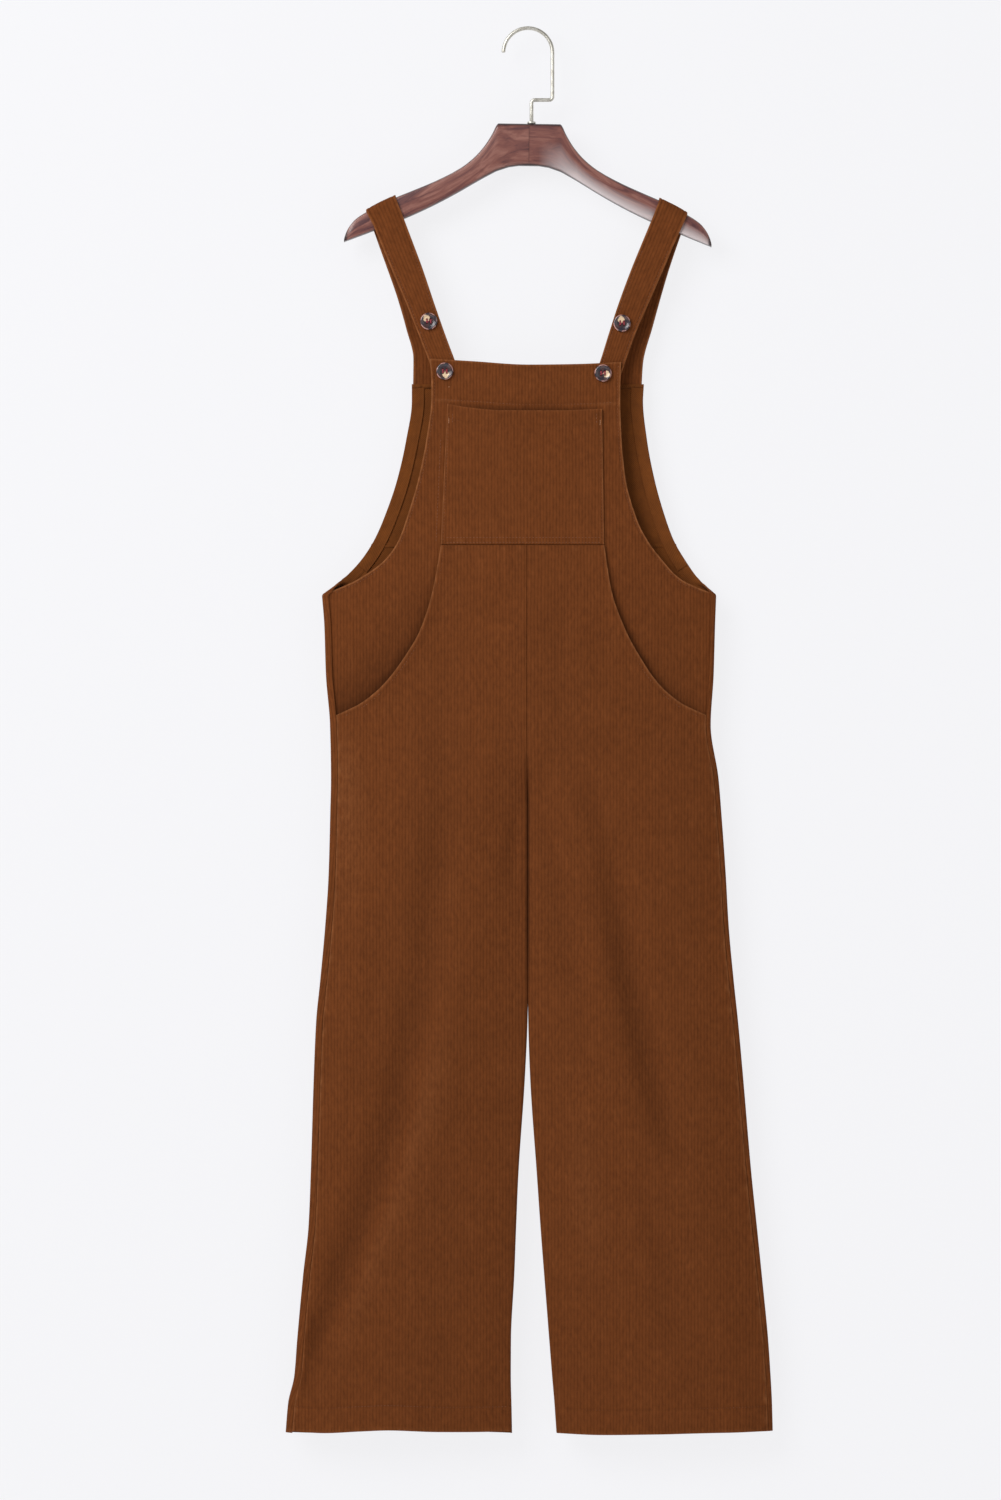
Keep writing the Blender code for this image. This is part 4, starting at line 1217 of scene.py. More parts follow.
@dataclass(frozen=True)
class LegFront(LegPart):
    """Leg front from the waist seam to the hem, with the side pocket's opening as its upper outer edge."""

    gape: float = 2.6
    gape_width: float = 15.0
    edge_stitch: float = 4.5
    parting_z: float = 1060.0
    parting_width: float = 2.2

    def pocket_share(self, z: Array) -> Array:
        """Place down the pocket's opening, 0 at its top and 1 at the side seam."""
        return np.clip((POCKET_TOP - z) / (POCKET_TOP - POCKET_END), 0, 1)

    def reach(self, z: Array) -> Array:
        """Reach of the outer edge."""
        seam = self.form.seam_reach(z, self.side) - self.form.gap / 2
        return np.where(z >= POCKET_END, np.minimum(POCKET_CURVE.read(self.side.value, z), seam), seam)

    def ground(self, x: Array, z: Array) -> Array:
        """Outer face without edges and seams."""
        return self.form.front(x, z)

    def relief(self, x: Array, z: Array) -> Array:
        """The pocket's gape, its stitched edge, the seams and the hem, with painted light and shade along the
        creases and painted shade where the legs part.

        Args:
            x: places across.
            z: places down.

        Returns:
            Height and tone.
        """
        form = self.form
        away = edge_distance(self.reach, x, z)
        is_pocket = ease((z - POCKET_END + 4) / 8)
        made = mark(self.gape * np.sin(math.pi * self.pocket_share(z)) * bell(away / self.gape_width), 0.0)
        made = made + scaled(is_pocket, turned_edge(away, self.edge_stitch, 0.7))
        # Below the pocket the edge at the side seam is pale, as wear and as painted highlight.
        made = made + scaled(1 - is_pocket, mark(0.0, 0.5 * bell(away / 1.6))
                             + pressed_seam(away + 1.5, z, form.pucker, 3.0 + self.side.sign))
        middle = np.abs(x) - SIDES.read(self.side.value + "_in", z)
        made = made + scaled(0.2 * (1 - form.parted(z)), pressed_seam(middle, z, form.pucker, 11.0))
        waist = pressed_seam(form.waist_z - z, x, 0.6 * form.pucker, 17.0)
        # Painted light and shade along the finer creases, shifted to one flank of each.
        painted_crease_light = self.crease_tone * form.folds(x + self.crease_shift, z, FRONT_CREASES, 14.0)
        # Painted shade in the crevice where the legs part.
        between = form.parted(z) * ease((z + self.parting_z) / 120.0) * bell(middle / self.parting_width)
        return made + waist + hem_fold(z, HEMS[self.side].read("z", x)) + mark(0.0, painted_crease_light - 0.9 * between)

    def build(self, wardrobe: Wardrobe) -> None:
        """The panel's shell.

        Args:
            wardrobe: the cloth's two sides.
        """
        form = self.form
        z = runs(form.waist_z - 0.1, (-542.0, 0.8), (-546.0, 1.3), (-552.0, 2.0), (-684.0, 3.6),
                 (-723.0, 1.8), (-732.0, 3.0), (-1430.0, 3.9), (-1452.0, 1.4), (-1468.0, 3.0), (-1470.0, 0.9))
        x, _, level = self.section(z, Way.FRONT, self.face, self.reach(z), 46)
        level = form.settle(self.side.sign * x, level, self.side)
        _, y, _ = self.section(z, Way.FRONT, lambda u, v: self.face(u, form.settle(u, v, self.side)),
                               self.reach(z), 46)
        points = np.stack([self.side.sign * x, y, level], axis=-1)
        grain = np.stack([points[..., 0], points[..., 2]], axis=-1)
        turn = self.turn_steps
        run = np.abs(np.diff(points[:, :turn + 1], axis=1))
        length = np.hypot(run[..., 0], run[..., 1])
        length = length[:, ::-1].cumsum(axis=1)[:, ::-1]
        grain[:, :turn, 0] = grain[:, turn:turn + 1, 0] - self.side.sign * length
        tone = self.tone(points[..., 0], level)
        points, grain, tone = towards_right(self.side, points, grain, tone)
        name = self.side.value
        thing = Shell(f"leg_front_{name}_cloth", form.leaned(points), grain, tone, Way.FRONT).build(wardrobe)
        seat(thing, Slot.CORDUROY, "front_hip_" + name, "front_leg_" + name)


@dataclass(frozen=True)
class BackHalf(LegPart):
    """Half of the back from the strap's seam to the hem, wrapped round the side to the side seam."""

    wrap_steps: int = 10
    hem_drop: float = 0.0
    edge_stitch: float = 9.0
    top_stitch: float = 7.0
    strap_from: float = 84.0
    strap_run: float = 3.0
    tuck: float = 2.2
    tuck_below: float = 2.6
    tuck_run: float = 1.9
    sag: float = 1.5
    sag_below: float = 7.0
    sag_run: float = 8.5
    waist_step: float = 0.7

    def turn(self, z: Array) -> Array:
        """1 where the back wraps round the side, 0 up the armhole, where its edge is flat."""
        return ease((self.form.turn_z - z) / self.form.turn_run)

    def reach(self, z: Array) -> Array:
        """Outermost reach."""
        return np.where(z > self.form.armhole_z, ARMHOLES.read("back_" + self.side.value, z),
                        SIDES.read(self.side.value, z))

    def ground(self, x: Array, z: Array) -> Array:
        """Outer face without edges and seams."""
        return self.form.back(x, z)

    def relief(self, x: Array, z: Array) -> Array:
        """The centre and waist seams, the armhole's edge and the hem, with painted light and shade along the
        creases and a line of painted shade below the top edge.

        Args:
            x: places across.
            z: places down.

        Returns:
            Height and tone.
        """
        form = self.form
        middle = np.abs(x) - SIDES.read(self.side.value + "_in", z)
        made = scaled(1 - form.parted(z), pressed_seam(middle, z, form.pucker, 41.0))
        made = made + scaled(1 - self.turn(z), turned_edge(edge_distance(self.reach, x, z), self.edge_stitch))
        made = made + pressed_seam(np.abs(z - form.waist_z), x, 0.6 * form.pucker, 57.0)
        # Painted light and shade along the finer creases, shifted to one flank of each.
        painted_crease_light = self.crease_tone * form.folds(x - self.crease_shift, z, BACK_CREASES, 14.0)
        made = made + mark(0.0, painted_crease_light)
        down = form.back_top_z - z
        # A line of painted shade just below the top edge.
        top = turned_edge(down, self.top_stitch, wear_and_highlight=0.0) - mark(0.0, 0.2 * bell((down - 1.5) / 1.6))
        return made + top + hem_fold(z, HEMS[self.side].read("z", x))

    def panel(self, name: str, nodes: Sequence[str], z: Array, wardrobe: Wardrobe) -> Thing:
        """Shell of one piece of the back.

        Args:
            name: its name.
            nodes: the solids that it stands for.
            z: heights of its rows.
            wardrobe: the finishes.

        Returns:
            The piece.
        """
        form, sign = self.form, self.side.sign
        tail = form.seam_inset[self.side] - form.roll - form.gap / 2
        out, into = self.strip(self.turn(z), math.pi, tail, self.wrap_steps)
        start = self.reach(z) - out.max(axis=1)

        def settled(u: Array, v: Array) -> Array:
            """Outer face on the rows as they lie along the hem."""
            return self.face(u, form.settle(u, v, self.side, self.hem_drop))

        x, y, level = self.section(z, Way.BACK, settled, start, 50)
        wrap_x = start[:, None] + out
        wrap_z = np.broadcast_to(z[:, None], wrap_x.shape)
        wrap_y = settled(sign * wrap_x, wrap_z) - into
        front = form.front(sign * wrap_x, wrap_z) + 0.05
        wrap_y = np.where(into > 1.99 * form.roll, np.minimum(wrap_y, front), wrap_y)
        x, y, level = np.hstack([x, wrap_x]), np.hstack([y, wrap_y]), np.hstack([level, wrap_z])
        level = form.settle(sign * x, level, self.side, self.hem_drop)
        if name.startswith("back_bodice"):
            # The waist seam steps in, the top tucks in under the strap, and beside the strap it sags.
            strapped, top = ease((x - self.strap_from) / self.strap_run), form.back_top_z
            y = y - self.waist_step * ease(form.waist_z + 0.6 - level) \
                - strapped * self.tuck * ease((level - top + self.tuck_below) / self.tuck_run)
            level = level - (1 - strapped) * self.sag * ease((level - top + self.sag_below) / self.sag_run)
        points = np.stack([sign * x, y, level], axis=-1)
        tone = self.tone(sign * x, level)
        run = np.hypot(np.diff(x, axis=1), np.where(np.arange(x.shape[1] - 1) < self.turn_steps, 0, 1)
                       * np.diff(y, axis=1))
        across = np.hstack([x[:, :1], x[:, :1] + run.cumsum(axis=1)])
        grain = np.stack([sign * across + 500.0, level], axis=-1)
        points, grain, tone = towards_right(self.side, points, grain, tone)
        thing = Shell(name, form.leaned(points), grain, tone, Way.BACK).build(wardrobe)
        return seat(thing, Slot.CORDUROY, *nodes)

    def build(self, wardrobe: Wardrobe) -> None:
        """Bodice from the straps to the waist seam, and leg from there to the hem.

        Args:
            wardrobe: the cloth's two sides.
        """
        form, side = self.form, self.side.value
        seam = form.waist_z
        rows = runs(form.back_top_z + 1.5, (-376.4, 0.6), (-384.0, 1.8), (-530.0, 3.8), (-538.0, 1.6),
                    (seam - 1.6, 0.6))
        bodice = self.panel(f"back_bodice_{side}_cloth", ["back_bodice_" + side], rows, wardrobe)
        rows = runs(seam - 0.02, (-544.0, 0.9), (-554.0, 2.0), (-600.0, 1.9), (-640.0, 3.6), (-1430.0, 4.0),
                    (-1452.0, 1.4), (-1468.0, 3.0), (-1470.0, 0.9))
        leg = self.panel(f"back_leg_{side}_cloth", ["back_hip_" + side, "back_leg_" + side], rows, wardrobe)


@dataclass(frozen=True)
class Bib(Panel):
    """Bib and hips in one piece, down behind the leg fronts."""

    sink: dict[Side, float] = field(default_factory=lambda: {Side.LEFT: 3.0, Side.RIGHT: 2.2})
    # How dark and how wide the painted shade is on each hip beside its pocket opening.
    painted_hip_shade: dict[Side, float] = field(default_factory=lambda: {Side.LEFT: 0.75, Side.RIGHT: 0.3})
    painted_hip_shade_width: dict[Side, float] = field(default_factory=lambda: {Side.LEFT: 48.0, Side.RIGHT: 22.0})
    facing: float = 42.0
    pocket_depth: float = 168.0
    edge_stitch: float = 3.0

    def reach(self, z: Array, side: Side) -> Array:
        """Reach of the armhole edge, then of the hidden edge just under the back's wrapped one.

        Args:
            z: places down.
            side: the side.

        Returns:
            How far out it lies.
        """
        seam = self.form.seam_reach(z, side) + 1.0
        edge = np.minimum(ARMHOLES.read("bib_" + side.value, z), seam)
        return np.where(z > self.form.armhole_z, edge, seam)

    def edge(self, side: Side) -> Edge:
        """Reach of the edge on one side."""
        return partial(self.reach, side=side)

    def ground(self, x: Array, z: Array) -> Array:
        """Outer face without edges and seams."""
        return self.form.front(x, z) + self.form.layer

    def relief(self, x: Array, z: Array) -> Array:
        """The armhole edges, the faced top, the hips sinking into the pockets under painted shade, and a
        painted shadow above the bib pocket's mouth.

        Args:
            x: places across.
            z: places down.

        Returns:
            Height and tone.
        """
        form = self.form
        down = BIB_TOP.read("z", x) - z
        made = turned_edge(down, self.edge_stitch, wear_and_highlight=0.5)
        under = down - self.facing
        made = made - mark(0.35 * bell(under / 1.2), -0.2 * bell((under - 1.0) / 1.6))
        # Painted shadow on the bib just above the bib pocket's mouth.
        over = z - BIB_POCKET_TOP.read("z", x)
        mouth = np.clip((x + BIB_POCKET_MOUTH[0]) / sum(BIB_POCKET_MOUTH), 0, 1)
        made = made - mark(0.0, 0.5 * np.sin(math.pi * mouth) ** 0.7 * bell(np.maximum(over, 0.0) / 6.0))
        for side in Side:
            here = (x < 0) if side is Side.LEFT else (x >= 0)
            away = edge_distance(self.edge(side), x, z)
            edge = scaled(ease((z - form.armhole_z) / 4), turned_edge(away, self.edge_stitch, 0.6, 0.9))
            # Beside each pocket opening the hip sinks and is darkened with painted shade, broad towards the
            # bottom and in a narrow line along the curve.
            t = np.clip((form.waist_z - 10 - z) / self.pocket_depth, 0, 1)
            beside = np.maximum(np.abs(x) - POCKET_CURVE.read(side.value, z), 0.0)
            near = bell(beside / self.painted_hip_shade_width[side])
            deep = self.sink[side] * 1.9 * t ** 0.8 * (1 - t) ** 0.5 * near
            shade = self.painted_hip_shade[side] * t ** 1.3 * near + 0.45 * np.sin(math.pi * t ** 1.6) * bell(beside / 6.0)
            made = made + scaled(here, edge - mark(deep, shade))
        return made

    def build(self, wardrobe: Wardrobe) -> None:
        """The panel's shell.

        Args:
            wardrobe: the cloth's two sides.
        """
        form = self.form
        z = runs(form.bib_top_z, (-350.0, 0.8), (-353.0, 1.4), (-384.0, 3.2), (-396.0, 1.4), (-545.0, 3.8),
                 (form.armhole_z, 1.8), (-738.0, 5.5))
        x = spread(-self.reach(z, Side.LEFT), self.reach(z, Side.RIGHT), LEAD, 84)
        level = np.broadcast_to(z[:, None], x.shape).copy()
        near_top = ease((level - form.bib_top_z + 36.0) / 36.0)
        level = level + (BIB_TOP.read("z", x) - form.bib_top_z) * near_top
        u = np.linspace(0, 1, x.shape[1])
        drop = 0.3 + 0.7 * ease((np.abs(2 * u - 1) - 0.1) / 0.65)
        below = np.minimum(level - form.armhole_z, 0.0)
        level = np.where(below < 0, form.armhole_z + below * (0.25 + 0.75 * drop), level)
        x = np.clip(x, -self.reach(level, Side.LEFT), self.reach(level, Side.RIGHT))
        points = np.stack([x, self.face(x, level), level], axis=-1)
        grain = np.stack([x + 1000.0, level], axis=-1)
        thing = Shell("bib_front_cloth", points, grain, self.tone(x, level), Way.FRONT).build(wardrobe)
        seat(thing, Slot.CORDUROY, "bib_front")


@dataclass(frozen=True)
class BibPocket(Panel):
    """Patch pocket on the bib, with a stitched hem at its open mouth."""

    gape: float = 2.4
    hem: float = 15.5
    side_stitch: float = 2.2
    height: float = 141.4

    def side_x(self, side: Side, z: Array) -> Array:
        """Reach of one side."""
        return BIB_POCKET_SIDE.read(side.value, z)

    def ground(self, x: Array, z: Array) -> Array:
        """Outer face without edges and seams."""
        return self.form.front(x, z)

    def relief(self, x: Array, z: Array) -> Array:
        """The mouth's gape, its hem, the stitched sides and the waist seam.

        Args:
            x: places across.
            z: places down.

        Returns:
            Height and tone.
        """
        form = self.form
        width = self.side_x(Side.LEFT, z) + self.side_x(Side.RIGHT, z)
        u = np.clip((x + self.side_x(Side.LEFT, z)) / width, 0, 1)
        down = BIB_POCKET_TOP.read("z", x) - z
        # The gape, with a faint painted shade over the hem strip.
        made = mark(self.gape * np.sin(math.pi * u) ** 0.8 * ease(1 - down / 60.0),
                    -0.06 * ease((17 - down) / 3))
        made = made + turned_edge(down, self.hem, 0.4, 0.25)
        made = made + pressed_seam(z - form.waist_z, x, 0.6 * form.pucker, 17.0)
        for reach in (self.side_x(Side.LEFT, z) + x, self.side_x(Side.RIGHT, z) - x):
            made = made + turned_edge(reach, self.side_stitch, 0.2, 0.5)
        return made

    def build(self, wardrobe: Wardrobe) -> None:
        """The panel's shell.

        Args:
            wardrobe: the cloth's two sides.
        """
        form = self.form
        v = runs(0.0, (0.8, 0.8), (2.3, 0.75), (12.0, 2.6), (20.0, 1.3), (132.0, 3.4), (138.0, 1.8),
                 (140.6, 1.0), (self.height, 0.8)) / self.height
        left, right = BIB_POCKET_MOUTH
        probe = spread(np.array([-left]), np.array([right]), LEAD, 44)[0]
        top = BIB_POCKET_TOP.read("z", probe)
        level = top[None, :] * (1 - v[:, None]) + (form.waist_z + 0.1) * v[:, None]
        share = (probe + left) / (left + right)
        x = -self.side_x(Side.LEFT, level) * (1 - share) + self.side_x(Side.RIGHT, level) * share
        points = np.stack([x, self.face(x, level), level], axis=-1)
        grain = np.stack([x + 1501.3, level], axis=-1)
        thing = Shell("bib_pocket_cloth", points, grain, self.tone(x, level), Way.FRONT).build(wardrobe)
        seat(thing, Slot.CORDUROY, "bib_pocket")


@dataclass(frozen=True)
class ArmholeEdge:
    """Turned strip inside an armhole edge of the back."""

    back: BackHalf
    width: float = 13.0
    wall: float = 1.0

    def build(self, wardrobe: Wardrobe) -> None:
        """The strip's shell, whose free edge stands a little off the back.

        Args:
            wardrobe: the cloth's two sides.
        """
        side, form = self.back.side, self.back.form
        z = runs(form.back_top_z - 1, (-500.0, 3.6), (-561.0, 2.6))
        inset = np.array([0.4, 1.0, 1.8, 3.2, 5.0, 7.0, 9.0, 11.0, 12.2, self.width])
        reach, level = inset_line(self.back.reach, z[:, None], inset)
        x, level = side.sign * reach, np.minimum(level, form.back_top_z - 1)
        off = 0.35 * ease((inset - 8.0) / 5.0)
        groove = 0.15 * bell((inset - 10.4) / 0.8)
        y = self.back.face(x, level) - form.layer - 0.05 + groove - off + 0.45
        points = np.stack([x, y, level], axis=-1)
        grain = np.stack([np.broadcast_to(inset, x.shape) + 2003.0, level], axis=-1)
        if side is Side.RIGHT:
            points, grain = points[:, ::-1], grain[:, ::-1]
        node = "back_facing_" + side.value
        plain = np.zeros(points.shape[:2])
        thing = Shell(node + "_cloth", points, grain, plain, Way.BACK, self.wall, 0.3).build(wardrobe)
        seat(thing, Slot.CORDUROY, node)


# Half of the hanger's wood, which is the same on both sides of its middle.
WOOD = table(
    "reach top under",
    (0, -98.7, -142.9),
    (17, -98.7, -144.5),
    (32.5, -98.7, -149.3),
    (35, -101.5, -150.3),
    (37.5, -107.0, -151.6),
    (41, -113.5, -153.4),
    (47, -122.8, -156.6),
    (57, -134.4, -162.3),
    (72, -146.4, -171.2),
    (95, -158.9, -184.0),
    (120, -169.9, -196.3),
    (138, -177.4, -204.2),
    (155, -185.6, -211.0),
    (170, -193.8, -217.0),
    (181, -201.3, -221.2),
    (188, -210.0, -223.8),
    (191.5, -217.5, -225.0),
    (192.8, -222.5, -225.6),
)


@dataclass(frozen=True)
class HangerForm:
    """Where the hanger's wood lies, and its rounded section."""

    thick: float = 14.0
    shift: float = 2.8
    tilt: float = 0.0138
    tip: float = 8.0
    tip_thick: float = 0.75

    def place(self, x: Array, z: Array) -> tuple[Array, Array]:
        """Place of a point of the wood, which hangs a little tilted."""
        return x + self.shift + self.tilt * z, z - self.tilt * x

    def half_thick(self, reach: Array) -> Array:
        """Half of the wood's thickness, less towards the tips."""
        body = ease((WOOD.rows[-1][0] - np.abs(reach)) / self.tip)
        return self.thick / 2 * (self.tip_thick + (1 - self.tip_thick) * body)

    def ring(self, reach: float, angle: Array, out: float) -> tuple[Array, Array]:
        """Rounded section of the wood moved out by a distance.

        Args:
            reach: place along the arm.
            angle: angles round the section, from the back over the top to the front.
            out: the distance.

        Returns:
            Depths and heights.
        """
        along = WOOD.column("reach")
        top, under = (float(np.interp(abs(reach), along, WOOD.column(c))) for c in ("top", "under"))
        a, b = float(self.half_thick(reach)), (top - under) / 2
        c, s = np.cos(angle), np.sin(angle)
        y = a * np.sign(c) * np.sqrt(np.abs(c))
        z = b * np.sign(s) * np.sqrt(np.abs(s))
        ny, nz = y ** 3 / a ** 4, z ** 3 / b ** 4
        size = np.maximum(np.hypot(ny, nz), 1e-9)
        return y + out * ny / size, z + out * nz / size + (top + under) / 2


# A strap's edges, in front from behind the bib up to the hanger, and down the back to its seam.
STRAP_FRONT = {
    Side.LEFT: table("z outer inner", (-385, 91, 62), (-348, 104, 76.5), (-320, 115, 87), (-290, 127, 97.5),
                     (-250, 144, 111), (-214, 159, 124.5)),
    Side.RIGHT: table("z outer inner", (-385, 90, 62), (-348, 102.5, 75.7), (-320, 112.5, 84.5),
                      (-290, 125.5, 94.2), (-250, 143, 109), (-216, 157, 123)),
}
STRAP_BACK = {
    Side.LEFT: table("z outer inner", (-373, 120.8, 88.5), (-345, 120.5, 88.5), (-313, 128, 95.5),
                     (-280, 137.5, 104.5), (-247, 149, 115.5), (-214, 161, 127.5)),
    Side.RIGHT: table("z outer inner", (-373, 119.6, 87.5), (-350, 121, 88.5), (-310, 131.5, 98.5),
                      (-257, 146.5, 113), (-216, 160, 126)),
}
STRAP_FOLD = {Side.LEFT: (170.0, 139.5), Side.RIGHT: (167.0, 137.5)}


@dataclass(frozen=True)
class Strap:
    """Doubled strap from behind the bib, over the hanger and down to the back."""

    form: GarmentForm
    hanger: HangerForm
    side: Side
    thick: float = 2.4
    clear: float = 0.45
    width: float = 30.0
    edge_stitch: float = 3.2
    low_z: float = -385.0
    free_z: float = -232.0
    tucked: float = 4.0
    columns: int = 9

    def edges(self, way: Way) -> Table:
        """Both edges of its front or its back."""
        return (STRAP_FRONT if way is Way.FRONT else STRAP_BACK)[self.side]

    def share(self) -> Array:
        """Places across the strap, close together near both edges."""
        return spread(np.array([0.0]), np.array([self.width]), LEAD[:6], self.columns)[0] / self.width

    def edge_form(self, share: Array) -> Array:
        """How the strap's face swells between its stitched edges."""
        away = self.width * np.minimum(share, 1 - share)
        return 0.35 * ease(away / 1.6) - 0.45 * bell((away - self.edge_stitch) / 0.9)

    def x_at(self, share: Array, z: Array, way: Way) -> Array:
        """Place across, without the side's sign."""
        rows = self.edges(way)
        return rows.read("outer", z) * (1 - share) + rows.read("inner", z) * share

    def face(self, x: Array, z: Array, way: Way) -> Array:
        """Plain outer face below the hanger, without the swell between the stitched edges.

        Args:
            x: places across.
            z: places down.
            way: front or back.

        Returns:
            Depths.
        """
        rows = self.edges(way)
        top = rows.column("z")[-1]
        end = self.form.bib_top_z if way is Way.FRONT else self.form.back_top_z
        t = ease((top - z) / (top - end))
        at_wood = self.hanger.thick / 2 + self.clear + self.thick
        if way is Way.FRONT:
            level = np.minimum(z, self.form.bib_top_z - self.tucked)
            behind_bib = self.form.front(x, level) + 2 * self.form.layer + 0.05
            return -at_wood * (1 - t) + behind_bib * t
        return at_wood * (1 - t) + self.form.back(x, z) * t

    def over_wood(self, share: Array, angle: float) -> Array:
        """Row of points across the strap at an angle round the wood.

        Args:
            share: places across, 0 at the outer edge.
            angle: the angle, from the back over the top.

        Returns:
            X, Y and Z of its points.
        """
        way = Way.FRONT if angle > math.pi / 2 else Way.BACK
        rows = self.edges(way)
        outer, inner = STRAP_FOLD[self.side]
        fold = outer * (1 - share) + inner * share
        low = rows.column("outer")[-1] * (1 - share) + rows.column("inner")[-1] * share
        end = rows.column("z")[-1]
        row = []
        for k, s in enumerate(share):
            out = self.clear + self.thick + float(self.edge_form(s))
            top_z = float(np.interp(fold[k], WOOD.column("reach"), WOOD.column("top")))
            reach = fold[k]
            for _ in range(4):
                y, z = self.hanger.ring(reach, np.array([angle]), out)
                reach = fold[k] + (low[k] - fold[k]) * max(0.0, top_z - z[0]) / (top_z - end)
            px, pz = self.hanger.place(self.side.sign * reach, z[0])
            row.append((px, y[0], pz))
        return np.array(row)

    def build(self, wardrobe: Wardrobe) -> None:
        """The strap's shell.

        Args:
            wardrobe: the cloth's two sides.
        """
        share, sign = self.share(), self.side.sign
        grid = []
        low, free, seam = self.low_z, self.free_z, self.form.back_top_z
        for way, z in ((Way.FRONT, runs(low, (low + 1.5, 0.8), (free, 3.2))),
                       (Way.BACK, runs(free, (seam + 1.4, 3.2), (seam, 0.8)))):
            s, level = np.meshgrid(share, z)
            x = sign * self.x_at(s, level, way)
            y = self.face(x, level, way) + way.value * self.edge_form(s)
            grid.append(np.stack([x, y, level], axis=-1))
        angles = np.radians(np.linspace(191.25, -11.25, 44))
        wrap = np.array([self.over_wood(share, float(angle)) for angle in angles])
        points = np.concatenate([grid[0], wrap, grid[1]])
        middle = points[:, points.shape[1] // 2]
        along = np.concatenate([[0.0], np.linalg.norm(np.diff(middle, axis=0), axis=1).cumsum()])
        grain = np.stack(np.broadcast_arrays(self.width * share[None, :] + 3000.0, along[:, None]), axis=-1)
        way = Way.BACK if self.side is Side.LEFT else Way.FRONT
        node = "strap_" + self.side.value
        away = self.width * np.minimum(share, 1 - share)
        # Pale edges, as wear and as painted highlight, and painted shade along the stitches.
        tone = np.broadcast_to(turned_edge(away, self.edge_stitch, wear_and_highlight=0.6)[..., 1], points.shape[:2])
        thing = Shell(node + "_cloth", points, grain, tone, way, self.thick, 0.8, lined=True).build(wardrobe)
        seat(thing, Slot.CORDUROY, node)


# ---------------------------------------------------------------------------- stitches


@dataclass
class Stitching:
    """Rows of lockstitch on one panel: each stitch is a short plump bead of thread, half sunk in the pile."""

    name: str
    pitch: float = 3.4
    length: float = 2.5
    width: float = 0.55
    sink: float = 0.12
    feel: float = 0.6
    rows: list[tuple[Array, Array, Array]] = field(default_factory=list)

    def bead(self) -> tuple[Array, list[tuple[int, ...]]]:
        """Corners and faces of one stitch, a small sphere drawn out along X.

        Returns:
            Places of the corners, and the corners of each face.
        """
        bpy.ops.mesh.primitive_uv_sphere_add(segments=6, ring_count=4, radius=0.5)
        sphere = bpy.context.object
        bpy.ops.object.mode_set(mode="EDIT")
        bpy.ops.mesh.select_all(action="SELECT")
        bpy.ops.transform.rotate(value=math.pi / 2, orient_axis="Y", center_override=(0, 0, 0))
        bpy.ops.transform.resize(value=(self.length, self.width, self.width), center_override=(0, 0, 0))
        bpy.ops.object.mode_set(mode="OBJECT")
        corners = np.array([v.co for v in sphere.data.vertices])
        faces = [tuple(p.vertices) for p in sphere.data.polygons]
        bpy.data.objects.remove(sphere, do_unlink=True)
        return corners, faces

    def row(self, x: Array, z: Array, face: Face, way: Way) -> None:
        """Adds a row of stitches along a line on a face.

        Args:
            x: places across of points along the line.
            z: their heights.
            face: outer face of the panel.
            way: which way it looks.
        """
        y = face(x, z)
        run = np.concatenate([[0.0], np.hypot(np.hypot(np.diff(x), np.diff(z)), np.diff(y)).cumsum()])
        count = max(1, int(run[-1] / self.pitch))
        at = (np.arange(count) + 0.5) * run[-1] / count
        px, pz = np.interp(at, run, x), np.interp(at, run, z)
        step = self.feel
        ahead_x, ahead_z = np.interp(at + step, run, x), np.interp(at + step, run, z)
        behind_x, behind_z = np.interp(at - step, run, x), np.interp(at - step, run, z)
        py = face(px, pz)
        along = np.stack([ahead_x - behind_x, face(ahead_x, ahead_z) - face(behind_x, behind_z),
                          ahead_z - behind_z], axis=-1)
        fx = (face(px + step, pz) - face(px - step, pz)) / (2 * step)
        fz = (face(px, pz + step) - face(px, pz - step)) / (2 * step)
        out = np.stack([-fx, np.ones_like(fx), -fz], axis=-1) * way.value
        self.rows.append((np.stack([px, py, pz], axis=-1), along, out))

    def build(self, thread: Material) -> None:
        """One mesh of all the stitches.

        Args:
            thread: finish of the thread.
        """
        corners, faces = self.bead()
        places, along, out = (np.concatenate([row[i] for row in self.rows]) for i in range(3))
        out = out / np.linalg.norm(out, axis=1, keepdims=True)
        along = along - out * np.sum(along * out, axis=1, keepdims=True)
        along = along / np.linalg.norm(along, axis=1, keepdims=True)
        across = np.cross(out, along)
        base = places - out * self.sink
        points = (base[:, None, :] + corners[None, :, :1] * along[:, None, :]
                  + corners[None, :, 1:2] * across[:, None, :] + corners[None, :, 2:] * out[:, None, :])
        joined = [tuple(i * len(corners) + v for v in face) for i in range(len(places)) for face in faces]
        seat(mesh_object(self.name, points, joined, thread), Slot.CORDUROY)


